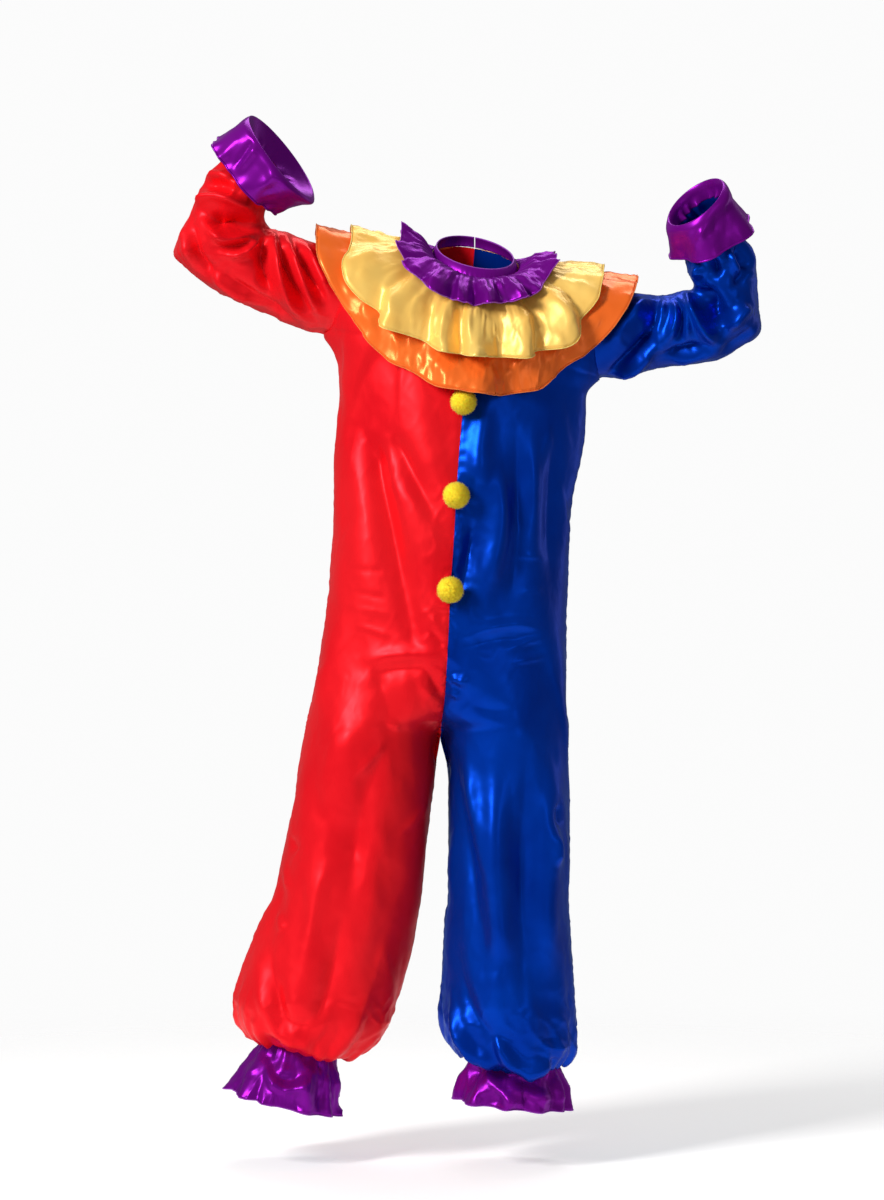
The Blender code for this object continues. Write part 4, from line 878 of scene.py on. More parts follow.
def grid_normals(grid, closed, outward):
    """Unit normals of a grid, turned so that they agree with a rough outward direction at its points."""
    across = np.roll(grid, -1, 1) - np.roll(grid, 1, 1)
    if not closed:
        across[:, 0] = grid[:, 1] - grid[:, 0]
        across[:, -1] = grid[:, -1] - grid[:, -2]
    normals = unit(np.cross(np.gradient(grid, axis=0), across))
    return normals if np.sum(normals * outward) > 0 else -normals


def edge_places(grid, closed):
    """Index pairs of a grid's border points."""
    rows, columns = grid.shape[:2]
    places = [(row, column) for row in (0, rows - 1) for column in range(columns)]
    if not closed:
        places += [(row, column) for row in range(rows) for column in (0, columns - 1)]
    return places


def share_normals(grids, closed, normals):
    """Averages the normals of grids at the border points that they share."""
    sums = {}
    for name, grid in grids.items():
        for row, column in edge_places(grid, closed[name]):
            key = tuple(np.round(grid[row, column] * 1e5).astype(int))
            sums[key] = sums.get(key, 0) + normals[name][row, column]
    for name, grid in grids.items():
        for row, column in edge_places(grid, closed[name]):
            key = tuple(np.round(grid[row, column] * 1e5).astype(int))
            normals[name][row, column] = unit(sums[key])


def fold_lines(points, normals, folds):
    """How far the drawn folds move each point along its normal."""
    total = np.zeros(points.shape[:-1])
    flat = points[..., (0, 2)]
    for row in folds:
        face = row[0]
        *places, height, half_width = np.array(row[1:]) / MM_PER_METRE
        start, bend, end = np.array(places).reshape(3, 2)
        bend = 2 * bend - (start + end) / 2
        t = np.linspace(0, 1, LINE_POINTS)[:, None]
        line = start * (1 - t) ** 2 + 2 * bend * t * (1 - t) + end * t ** 2
        reach = FOLD_REACH * half_width
        near = np.all((flat > line.min(axis=0) - reach) & (flat < line.max(axis=0) + reach), axis=-1)
        near &= normals[..., 1] * face > -FOLD_WRAP
        if not near.any():
            continue
        spots = flat[near]
        best = np.full(len(spots), np.inf)
        share = np.zeros(len(spots))
        for number in range(LINE_POINTS - 1):
            run = line[number + 1] - line[number]
            along = np.clip(((spots - line[number]) @ run) / (run @ run), 0, 1)
            away = np.linalg.norm(spots - line[number] - along[:, None] * run, axis=-1)
            closer = away < best
            best[closer] = away[closer]
            share[closer] = (number + along[closer]) / (LINE_POINTS - 1)
        ends = ease(share / FOLD_END) * ease((1 - share) / FOLD_END)
        facing = np.clip(normals[near][:, 1] * face * FOLD_FACING + FOLD_WRAP, 0, 1)
        width = half_width * (FOLD_START_WIDTH + FOLD_WIDENING * share)
        fall = TROUGH_FALL if height < 0 else RIDGE_FALL
        soft = np.sqrt((best / width) ** 2 + FOLD_BLUNT) ** fall
        level = FOLD_END_HEIGHT + (1 - FOLD_END_HEIGHT) * ends
        total[near] += FOLD_GROWTH * height * np.exp(-soft) * level * facing
    return total


def running(gaps):
    """Distances from the start, from the gaps between neighbours."""
    return np.concatenate([[0.0], np.cumsum(gaps)])


def along_rows(grid):
    """How far each point of a grid lies from its row's first point."""
    gaps = np.linalg.norm(np.diff(grid, axis=1), axis=-1)
    return np.concatenate([np.zeros((len(grid), 1)), np.cumsum(gaps, axis=1)], axis=1)


def crinkles(points, sizes, shift=0, stretch=(1.0, 1.0, 1.0)):
    """Undulations of several sizes together."""
    return sum(height * undulation(points, pitch, seed + shift, stretch) for pitch, height, seed in sizes)


def all_cloth_waves(points):
    """The soft unevenness of loose satin."""
    return crinkles(points, UNDULATION, 0, UNDULATION_STRETCH)


def crumples(points, seed):
    """A net of small ridges with flat cloth between them."""
    coarse = 1 - np.abs(undulation(points, CRUMPLE_PITCH, seed, CRUMPLE_STRETCH))
    fine = 1 - np.abs(undulation(points, CRUMPLE_PITCH * 0.5, seed + 1, FINE_CRUMPLE_STRETCH))
    net = CRUMPLE_HEIGHT * (np.clip(coarse, 0, 1) ** CRUMPLE_SHARPNESS - CRUMPLE_SINK)
    return net + FINE_CRUMPLE_SHARE * CRUMPLE_HEIGHT * np.clip(fine, 0, 1) ** CRUMPLE_SHARPNESS


def crumple_mask(grid):
    """Where a panel is crumpled: 0 is smooth, 1 is most."""
    from_centre = along_rows(grid)
    from_side = from_centre[:, -1:] - from_centre
    height = grid[..., 2]
    body = ease((CRUMPLE_TOP - height) / CRUMPLE_FADE)
    above_knee = ease((height - CRUMPLE_SEAM_END) / CRUMPLE_FADE)
    seam = CRUMPLE_SEAM_SHARE * np.exp(-from_centre / CRUMPLE_SEAM_REACH) * body * above_knee
    side = CRUMPLE_SIDE_SHARE * np.exp(-from_side / CRUMPLE_SIDE_REACH) * body
    ankle = CRUMPLE_ANKLE_SHARE * ease((CRUMPLE_ANKLE_TOP - height) / CRUMPLE_FADE)
    return np.maximum(CRUMPLE_LEAST, np.maximum(np.maximum(seam, side), ankle))


def puckers(grid, seed):
    """Small ripples that run away from the seams at both sides of a panel, and the seams' own grooves."""
    from_centre = along_rows(grid)
    from_side = from_centre[:, -1:] - from_centre
    down = running(np.linalg.norm(np.diff(grid[:, 0], axis=0), axis=-1))
    total = np.zeros(grid.shape[:2])
    random = np.random.default_rng(seed)
    for away in (from_centre, from_side):
        phase = PUCKER_SWING * np.sin(down * random.uniform(*PUCKER_SWING_RATES) + random.uniform(0, 6))
        patches = np.sin(down * random.uniform(*PUCKER_PATCH_RATES) + random.uniform(0, 6))
        strength = PUCKER_LEAST + (1 - PUCKER_LEAST) * np.clip(0.5 + PUCKER_PATCHINESS * patches, 0, 1)
        ripple = np.sin(down * 2 * math.pi / PUCKER_PITCH + phase)[:, None] * strength[:, None]
        near = away / PUCKER_PEAK
        total += PUCKER_HEIGHT * ripple * near * np.exp(1 - near) * np.cos(near * PUCKER_SLANT)
        total -= SEAM_DEPTH * np.exp(-((away / SEAM_HALF_WIDTH) ** 2))
    return total


def gathers(angles, count, seed):
    """Uneven gathers round an opening, between 0 and 1, with no jump where the ring closes."""
    random = np.random.default_rng(seed)
    warped = angles * count
    for number in GATHER_BENDS:
        warped = warped + random.uniform(*GATHER_BEND_SIZES) * np.sin(number * angles + random.uniform(0, 6))
    slow = np.sin(2 * angles + random.uniform(0, 6))
    quick = np.sin(5 * angles + random.uniform(0, 6))
    strength = 1 - GATHER_UNEVENNESS + GATHER_UNEVENNESS * slow * quick
    return (0.5 + 0.5 * np.cos(warped)) ** GATHER_SHARPNESS * strength


def leg_gathers(side, face, plan):
    """The gathers over the ankle elastic of one panel."""
    places, steps = plan
    fine = np.interp(np.arange(steps.sum() + 1), running(steps), places)
    from_end = places[-1] - fine
    turn = math.pi * SHARES
    angles = turn if face < 0 else 2 * math.pi - turn
    short_ones = gathers(angles, PUFF_GATHERS, PUFF_SEEDS[side])
    long_ones = gathers(angles, LONG_GATHERS, LONG_GATHER_SEEDS[side])
    grow = ease(1 - (from_end - PUFF_GATHER_START) / PUFF_GATHER_REACH)
    settle = ease((from_end + PUFF_HEM) / PUFF_SETTLE)
    far = ease(1 - (from_end - PUFF_SETTLE) / LONG_GATHER_REACH) * settle
    near = grow * (PUFF_LEAST + (1 - PUFF_LEAST) * settle)
    total = -PUFF_GATHER_HEIGHT * near[:, None] * short_ones[None, :]
    return total - LONG_GATHER_HEIGHT * far[:, None] * long_ones[None, :]


def panel_folds(grid, normals, side):
    """The drawn folds of a panel, with the ridges of each half at their own height."""
    lift = fold_lines(grid, normals, PANEL_FOLDS[side])
    return np.where(lift > 0, RIDGE_SHARES[side] * lift, lift)


def panel_lift(name, grid, normals, plan, seed):
    """How far the points of a panel stand off its plain form."""
    word, side = name.split("_")
    face = -1 if word == "front" else 1
    lift = panel_folds(grid, normals, side) + puckers(grid, seed) + leg_gathers(side, face, plan)
    return lift + crumples(grid, CRUMPLE_SEED) * crumple_mask(grid) + all_cloth_waves(grid)


def sleeve_lift(side, grid, normals):
    """How far the points of a sleeve stand off its plain form. It starts with its panels' own folds."""
    lift = SLEEVE_FOLD_GROWTH * fold_lines(grid, normals, SLEEVE_FOLDS[side])
    from_end = np.linalg.norm(grid.mean(axis=1) - grid[-1].mean(axis=0), axis=-1)
    grow = ease(1 - from_end / SLEEVE_GATHER_REACH)
    puff = ease(from_end / SLEEVE_PUFF_REACH)
    angles = np.linspace(0, 2 * math.pi, grid.shape[1], endpoint=False)
    pattern = gathers(angles, SLEEVE_GATHERS, SLEEVE_SEEDS[side])
    drawn_in = pattern[None, :] - SLEEVE_PUFF_SHARE * puff[:, None]
    lift = lift - SLEEVE_GATHER_HEIGHT * grow[:, None] * drawn_in
    lift = lift + crumples(grid, CRUMPLE_SEED) * SLEEVE_CRUMPLE
    start = ease(np.arange(len(grid)) / ARMHOLE_BLEND_ROWS)[:, None]
    lift = lift + all_cloth_waves(grid) * start
    armhole = panel_folds(grid[:1], normals[:1], side) + all_cloth_waves(grid[:1]) - SEAM_DEPTH
    return lift * start + armhole * (1 - start)


def body_grids():
    """The fine panels and sleeves, with their folds, and their outward normals."""
    plan = row_plan()
    grids = {}
    closed = {}
    outward = {}
    for face, word in ((-1, "front"), (1, "back")):
        for side in HALVES:
            name = f"{word}_{side}"
            grids[name] = smooth_rows(coarse_panel(side, face), *plan)
            closed[name] = False
            outward[name] = np.array((0.0, face, 0.0))
    for side in HALVES:
        name = f"sleeve_{side}"
        grids[name] = sleeve_grid(side, armhole_ring(grids, side))
        closed[name] = True
        outward[name] = grids[name] - grids[name].mean(axis=1, keepdims=True)
    normals = {name: grid_normals(grid, closed[name], outward[name]) for name, grid in grids.items()}
    share_normals(grids, closed, normals)
    moved = {}
    for number, (name, grid) in enumerate(grids.items()):
        if closed[name]:
            lift = sleeve_lift(name.split("_")[1], grid, normals[name])
        else:
            lift = panel_lift(name, grid, normals[name], plan, PUCKER_SEED + number)
        moved[name] = grid + normals[name] * lift[..., None]
    weld_armholes(moved)
    final = {name: grid_normals(grid, closed[name], outward[name]) for name, grid in moved.items()}
    share_normals(moved, closed, final)
    return moved, closed, final


def weld_armholes(grids):
    """Each sleeve starts on the edge that its two panels end on."""
    for side in HALVES:
        sleeve = grids[f"sleeve_{side}"]
        shift = armhole_ring(grids, side) - sleeve[0]
        for row in range(WELD_ROWS):
            sleeve[row] += shift * (1 - row / WELD_ROWS)


def cell_corners(values):
    """The values at the four corners of each cell of a grid."""
    corners = (values[:-1, :-1], values[:-1, 1:], values[1:, 1:], values[1:, :-1])
    return np.stack([corner.reshape(-1) for corner in corners], axis=1)


def add_mesh(name, points, faces, material):
    """A smooth mesh object in the scene."""
    mesh = bpy.data.meshes.new(name)
    mesh.from_pydata(points.tolist(), [], faces)
    mesh.materials.append(material)
    mesh.shade_smooth()
    made = bpy.data.objects.new(name, mesh)
    bpy.context.scene.collection.objects.link(made)
    return made


def make_sheet(name, grid, closed, normals, material, thickness):
    """A grid as a mesh with a map in metres. thickness is the cloth's, laid inwards, or 0 for one layer."""
    rows, columns = grid.shape[:2]
    index = np.arange(rows * columns).reshape(rows, columns)
    across = along_rows(grid)
    down = along_rows(grid.transpose(1, 0, 2)).T
    if closed:
        index = np.concatenate([index, index[:, :1]], axis=1)
        across = np.concatenate([across, across[:, -1:] + (across[:, -1:] - across[:, -2:-1])], axis=1)
        down = np.concatenate([down, down[:, :1]], axis=1)
    quads = cell_corners(index)
    maps = np.stack([cell_corners(across), cell_corners(down)], axis=-1)
    points = grid.reshape(-1, 3)
    away = normals.reshape(-1, 3)
    middle = quads[len(quads) // 2]
    corners = points[middle]
    if np.cross(corners[2] - corners[0], corners[3] - corners[1]) @ away[middle[0]] < 0:
        quads = quads[:, ::-1]
        maps = maps[:, ::-1]
    if thickness:
        count = len(points)
        borders = [index[0], index[-1]]
        if not closed:
            borders += [index[:, 0], index[:, -1]]
        sides = []
        for border in borders:
            for first, second in zip(border[:-1], border[1:]):
                sides.append((first, second, second + count, first + count))
        points = np.concatenate([points, points - away * thickness])
        quads = np.concatenate([quads, quads[:, ::-1] + count, np.array(sides)])
        maps = np.concatenate([maps, maps[:, ::-1], np.array([STRIP_MAP] * len(sides))])
    made = add_mesh(name, points, quads.tolist(), material)
    layer = made.data.uv_layers.new(name="weave")
    layer.data.foreach_set("uv", maps.reshape(-1).astype(np.float32))
    if thickness:
        work = bmesh.new()
        work.from_mesh(made.data)
        bmesh.ops.recalc_face_normals(work, faces=work.faces)
        work.to_mesh(made.data)
        work.free()
    return made


def make_tube(name, line, radius, material, closed=False):
    """A thin thread tube along a line of points."""
    count = len(line)
    ahead = np.roll(line, -1, 0) - np.roll(line, 1, 0)
    if not closed:
        ahead[0] = line[1] - line[0]
        ahead[-1] = line[-1] - line[-2]
    ahead = unit(ahead)
    first = unit(np.cross(ahead, np.array(TUBE_SIDEWAYS)))
    second = np.cross(ahead, first)
    turns = np.linspace(0, 2 * math.pi, TUBE_SIDES, endpoint=False)
    rings = [line + radius * (first * math.cos(turn) + second * math.sin(turn)) for turn in turns]
    faces = []
    for row in range(count if closed else count - 1):
        here = row * TUBE_SIDES
        there = (row + 1) % count * TUBE_SIDES
        for side in range(TUBE_SIDES):
            other = (side + 1) % TUBE_SIDES
            faces.append((here + side, here + other, there + other, there + side))
    if not closed:
        faces.append(tuple(range(TUBE_SIDES))[::-1])
        faces.append(tuple((count - 1) * TUBE_SIDES + side for side in range(TUBE_SIDES)))
    return add_mesh(name, np.stack(rings, 1).reshape(-1, 3), faces, material)


def ride_with(piece):
    """A piece rides on the one body."""
    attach(piece, "root")


def declare(piece, node):
    """A piece that stands for a solid."""
    ride_with(piece)
    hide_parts(node)


def hemmed_sheet(node, grid, closed, normals, colour, materials, thickness, hem):
    """A piece of cloth with a thread tube along its last row. hem is the tube's name, line, radius and yarn."""
    piece = make_sheet("cloth_" + node, grid, closed, normals, materials[colour], thickness)
    declare(piece, node)
    name, line, radius, thread = hem
    edge = make_tube(name, line, radius, materials[thread], closed)
    ride_with(edge)
    return piece, (edge,)


def make_body(grids, closed, normals, materials):
    """The panels and sleeves, each with no separate edge."""
    pieces = {}
    for name, grid in grids.items():
        colour = HALVES[name.split("_")[1]][0]
        piece = make_sheet("cloth_" + name, grid, closed[name], normals[name], materials[colour], 0)
        declare(piece, name)
        pieces[name] = (piece, ())
    return pieces


def body_tree(grids, closed):
    """The outer surface of the panels and sleeves, for what lies on them."""
    points = []
    faces = []
    for name, grid in grids.items():
        thin = grid[::2] if closed[name] else grid[::2, ::2]
        rows, columns = thin.shape[:2]
        index = len(points) + np.arange(rows * columns).reshape(rows, columns)
        if closed[name]:
            index = np.concatenate([index, index[:, :1]], axis=1)
        points += [Vector(point) for point in thin.reshape(-1, 3)]
        faces += cell_corners(index).tolist()
    return BVHTree.FromPolygons(points, faces)


def body_profile(tree, angle):
    """The taut line over the body in one direction, as (reach, height) points from the neckline outwards."""
    neck = neck_point(angle)
    points = [(math.hypot(neck[0], neck[1]), neck[2])]
    elevation = math.degrees(math.atan2(neck[2] - BODY_POLE.z, points[0][0])) - POLE_STEP
    length = 0.0
    while length < PROFILE_LIMIT and elevation > LOWEST_RAY:
        rise = math.radians(elevation)
        reaches = []
        for spread in (-POLE_SPREAD, 0.0, POLE_SPREAD):
            turned = angle + math.radians(spread)
            level = (math.sin(turned) * math.cos(rise), -math.cos(turned) * math.cos(rise))
            place = tree.ray_cast(BODY_POLE, Vector((*level, math.sin(rise))))[0]
            if place is not None:
                reaches.append((place - BODY_POLE).length)
        if reaches:
            point = (max(reaches) * math.cos(rise), BODY_POLE.z + max(reaches) * math.sin(rise))
            length += math.dist(point, points[-1])
            points.append(point)
        elevation -= POLE_STEP
    taut = []
    for point in points:
        while len(taut) > 1 and bends_in(taut[-2], taut[-1], point):
            taut.pop()
        taut.append(point)
    return np.array(taut)


def bends_in(first, second, third):
    """Whether the middle one of three outline points lies inside the line between the others."""
    a = (second[0] - first[0], second[1] - first[1])
    b = (third[0] - second[0], third[1] - second[1])
    return a[0] * b[1] - a[1] * b[0] > 0


def profile_field(tree):
    """Places and outward normals of the taut surface for every direction and length, smoothed both ways."""
    lengths = np.linspace(0, PROFILE_LIMIT, PROFILE_LENGTHS)
    field = []
    for direction in np.arange(PROFILE_DIRECTIONS) * 360 / PROFILE_DIRECTIONS - 180:
        profile = body_profile(tree, math.radians(direction))
        starts = running(np.linalg.norm(np.diff(profile, axis=0), axis=1))
        field.append(np.stack([np.interp(lengths, starts, profile[:, axis]) for axis in (0, 1)], -1))
    field = np.array(field)
    for _ in range(SMOOTHING_AROUND):
        field = (np.roll(field, 1, 0) + 2 * field + np.roll(field, -1, 0)) / 4
    for _ in range(SMOOTHING_OUTWARDS):
        field[:, 1:-1] = (field[:, :-2] + 2 * field[:, 1:-1] + field[:, 2:]) / 4
    run = np.gradient(field, axis=1)
    normals = unit(np.stack((-run[..., 1], run[..., 0]), -1))
    return field, normals


def read_field(field, directions, lengths):
    """A field's values at directions in degrees and lengths in metres, blended between its samples."""
    turn = (directions + 180) / 360 * PROFILE_DIRECTIONS
    step = np.clip(lengths / PROFILE_LIMIT * (PROFILE_LENGTHS - 1), 0, PROFILE_LENGTHS - 1.001)
    turn_low = np.floor(turn).astype(int)
    step_low = np.floor(step).astype(int)
    turn_part = (turn - turn_low)[..., None]
    step_part = (step - step_low)[..., None]
    first = turn_low % PROFILE_DIRECTIONS
    second = (turn_low + 1) % PROFILE_DIRECTIONS
    low = field[first, step_low] * (1 - step_part) + field[first, step_low + 1] * step_part
    high = field[second, step_low] * (1 - step_part) + field[second, step_low + 1] * step_part
    return low * (1 - turn_part) + high * turn_part


def turned_out(flat, angle):
    """Points given as reach and height, set in the direction of an angle from the front."""
    return np.stack((flat[..., 0] * np.sin(angle), -flat[..., 0] * np.cos(angle), flat[..., 1]), -1)


def fold_shares(name, directions):
    """How high a tier stands in each direction: 0 between folds, up to 1 on a crest."""
    look = named(TIER_LOOK_COLUMNS, TIER_LOOKS[name])
    best = np.zeros_like(directions)
    for number, row in enumerate(TIER_FOLDS[name]):
        fold = named(FOLD_COLUMNS, row)
        apart = (directions - fold["direction"]) / fold["half_width"]
        lean = look["lean"] * math.sin(LEAN_STEP * number + LEAN_START)
        apart = np.abs(np.clip(apart + lean * (1 - np.minimum(apart ** 2, 1)), -1, 1))
        best = np.maximum(best, fold["share"] * (0.5 + 0.5 * np.cos(math.pi * apart)) ** look["crease"])
    return best


def fold_envelope(name, directions):
    """The highest that a tier stands near a direction, for the tier that lies over it."""
    return np.max([fold_shares(name, directions + turn) for turn in ENVELOPE_TURNS], axis=0)


def pompom_bump(directions, lengths):
    """The extra lift of the tiers where they pass over the top pompom."""
    side = np.exp(-((directions - TOP_POMPOM_DIRECTION) / TOP_POMPOM_BUMP_WIDTH) ** 2)
    hem = named(TIER_COLUMNS, TIERS[0])["width"]
    return TOP_POMPOM_BUMP * side * ease((lengths - TOP_POMPOM_BUMP_FROM) / (hem - TOP_POMPOM_BUMP_FROM))


def stack_height(tier, directions, lengths):
    """The offset of a tier's inner face from the body, over all the tiers under it."""
    total = np.zeros_like(lengths)
    settle = ease(lengths / TIER_SETTLE)
    angles = np.radians(directions)
    for number, row in enumerate(TIERS[: tier + 1]):
        section = named(TIER_COLUMNS, row)
        share = np.minimum(lengths / section["width"], 1.0)
        if number == 0:
            total = total + section["foot"] + pompom_bump(directions, lengths)
        total = total + (TIER_SPARE if number else 0.0) * settle + section["lift"] * settle
        if number == tier:
            look = named(TIER_LOOK_COLUMNS, TIER_LOOKS[section["name"]])
            level = SIDE_GROWTH + (1 - SIDE_GROWTH) * np.cos(angles) ** 2
            height = look["growth"] * section["wave"] * level
            sway = SWAY_DEGREES * np.sin(SWAY_RUN * share + angles * SWAY_TURNS) * (1 - share)
            total = total + height * share ** WAVE_GROWTH * fold_shares(section["name"], directions + sway)
        else:
            cover = fold_envelope(section["name"], directions)
            total = total + section["wave"] * share ** WAVE_GROWTH * cover
            total = total + RUFFLE_CLOTH + TIER_GAP
    return total


def tier_details(tier, name, grid, out, angle, lengths):
    """The gathers at the neck, wrinkles down the cloth, crumples and drawn ridges of a tier."""
    look = named(TIER_LOOK_COLUMNS, TIER_LOOKS[name])
    gather = gathers(angle, TIER_GATHERS, GATHER_SEED + tier) * np.exp(-lengths / look["gather_reach"])
    gather = gather * look["gather"]
    ridges = 1 - np.abs(undulation(grid, RIDGE_PITCH, RIDGE_SEED + tier, RIDGE_STRETCH))
    lines = gathers(angle + WRINKLE_SHIFT * ridges, look["wrinkle_count"], WRINKLE_SEED + tier)
    wrinkle = (lines - WRINKLE_SINK) * ridges * look["wrinkle"] * ease(lengths / WRINKLE_START)
    crinkle = crinkles(grid, TIER_CRINKLES, tier) + look["crumple"] * crumples(grid, TIER_CRUMPLE_SEED + tier)
    crinkle = crinkle + fold_lines(grid, out, TIER_RIDGES[name])
    return gather * ease(lengths / GATHER_START) + wrinkle + crinkle * ease(lengths / CRINKLE_START)


def make_tiers(tree, materials):
    """The three tiers of the collar, and the rolled thread edge along each hem."""
    field, field_normals = profile_field(tree)
    pieces = {}
    for tier, row in enumerate(TIERS):
        section = named(TIER_COLUMNS, row)
        name = section["name"]
        around, down = section["around"], section["rows"]
        widest = 180.0 - OPENING_HALF_ANGLE
        directions = np.linspace(-widest, widest, around + 1)
        hem = section["width"] + section["front_extra"] * np.maximum(np.cos(np.radians(directions)), 0)
        hem = hem + section["notch"] * (fold_shares(name, directions) - 0.5)
        shares = np.linspace(0, 1, down + 1)[:, None]
        lengths = TIER_START + (hem[None, :] - TIER_START) * shares
        wide = np.broadcast_to(directions, lengths.shape)
        away = unit(read_field(field_normals, wide, lengths))
        points = read_field(field, wide, lengths) + away * stack_height(tier, wide, lengths)[..., None]
        angle = np.radians(wide)
        grid = turned_out(points, angle)
        out = turned_out(away, angle)
        grid = grid + out * tier_details(tier, name, grid, out, angle, lengths)[..., None]
        normals = grid_normals(grid, False, out)
        colour = section["colour"]
        hem_line = (name + "_edge", grid[-1] + normals[-1] * HEM_RISE, HEM_RADIUS, colour + "_thread")
        pieces[name] = hemmed_sheet(name, grid, False, normals, colour, materials, THIN_CLOTH, hem_line)
    return pieces


def make_neckband(materials):
    """The narrow standing band round the neck, open at the back, slightly padded by its turned edge."""
    widest = math.radians(180.0 - OPENING_HALF_ANGLE)
    angles = np.linspace(-widest, widest, BAND_AROUND)
    foot = neck_point(angles)
    away = unit(foot * np.array((1.0, 1.0, 0.0)))
    rows = []
    for share in np.linspace(0, 1, BAND_ROWS):
        height = BAND_FOOT + (BAND_HEIGHT - BAND_FOOT) * share
        bulge = BAND_BULGE * math.sin(math.pi * share)
        ripple = BAND_RIPPLE * gathers(angles, TIER_GATHERS, GATHER_SEED)[:, None] * (1 - share) ** 2
        shift = -away * BAND_DRAW_IN * share + away * (bulge + ripple)
        rows.append(foot + shift + np.array((0.0, 0.0, height)))
    grid = np.array(rows)
    normals = grid_normals(grid, False, np.broadcast_to(away, grid.shape))
    hem = ("neckband_edge", grid[-1] - normals[-1] * BAND_EDGE_INSET, BAND_EDGE_RADIUS, "purple_thread")
    return hemmed_sheet("neckband", grid, False, normals, "purple", materials, BAND_CLOTH, hem)


def make_cuff(side, sleeve_end, materials):
    """A cuff sewn to the sleeve's end, run out to the mouth and folded back over the sleeve."""
    angles = np.linspace(0.0, 2 * math.pi, CUFF_AROUND, endpoint=False)
    cosines = np.cos(angles)[:, None]
    sines = np.sin(angles)[:, None]
    turn = np.linspace(0, len(sleeve_end), CUFF_AROUND, endpoint=False)
    low = np.floor(turn).astype(int)
    part = (turn - low)[:, None]
    following = sleeve_end[(low + 1) % len(sleeve_end)]
    rings = [sleeve_end[low % len(sleeve_end)] * (1 - part) + following * part]
    for row in CUFFS[side]["sections"]:
        section = named(CUFF_COLUMNS, row)
        width_way = (section["along_x"], section["along_z"])
        along, depth = ring_axes(width_way, CUFFS[side]["lean"], -HALVES[side][1])
        middle = np.array((section["middle_x"], section["middle_y"], section["middle_z"]))
        swell = section["wave"] * np.cos(CUFF_WAVES * angles + CUFF_WAVE_TURN)[:, None]
        ahead = along * (section["half_width"] + swell) * cosines
        rings.append(middle + ahead - depth * (section["half_depth"] + swell) * sines)
    rings = np.array(rings)
    gaps = np.maximum(np.linalg.norm(np.diff(rings, axis=0), axis=-1).mean(axis=1), CUFF_LEAST_GAP)
    steps = np.maximum(np.round(gaps / CUFF_ROW_PITCH), LEAST_STEPS).astype(int)
    grid = smooth_rows(rings, running(gaps), steps)
    outward = np.zeros_like(grid)
    outward[-OUTER_ROWS:] = grid[-OUTER_ROWS:] - grid[-OUTER_ROWS:].mean(axis=1, keepdims=True)
    normals = grid_normals(grid, True, outward)
    share = np.linspace(0, 1, len(grid))[:, None]
    curl = np.cos(CURLS * angles + CURL_SWAY * np.sin(3 * angles))[None, :] * CURL_HEIGHTS[side]
    curl = curl * ease((share - CURL_START) / (1 - CURL_START))
    creases = crinkles(grid, CUFF_CRINKLES[side]) + fold_lines(grid, normals, CUFF_FOLDS[side])
    outer = ease((share - CUFF_OUTSIDE_START) / CUFF_OUTSIDE_FADE)
    grid = grid + normals * (creases * outer + curl)[..., None]
    normals = grid_normals(grid, True, outward)
    hem = (f"cuff_{side}_edge", grid[-1], CUFF_EDGE_RADIUS, "purple")
    return hemmed_sheet("cuff_" + side, grid, True, normals, "purple", materials, THIN_CLOTH, hem)


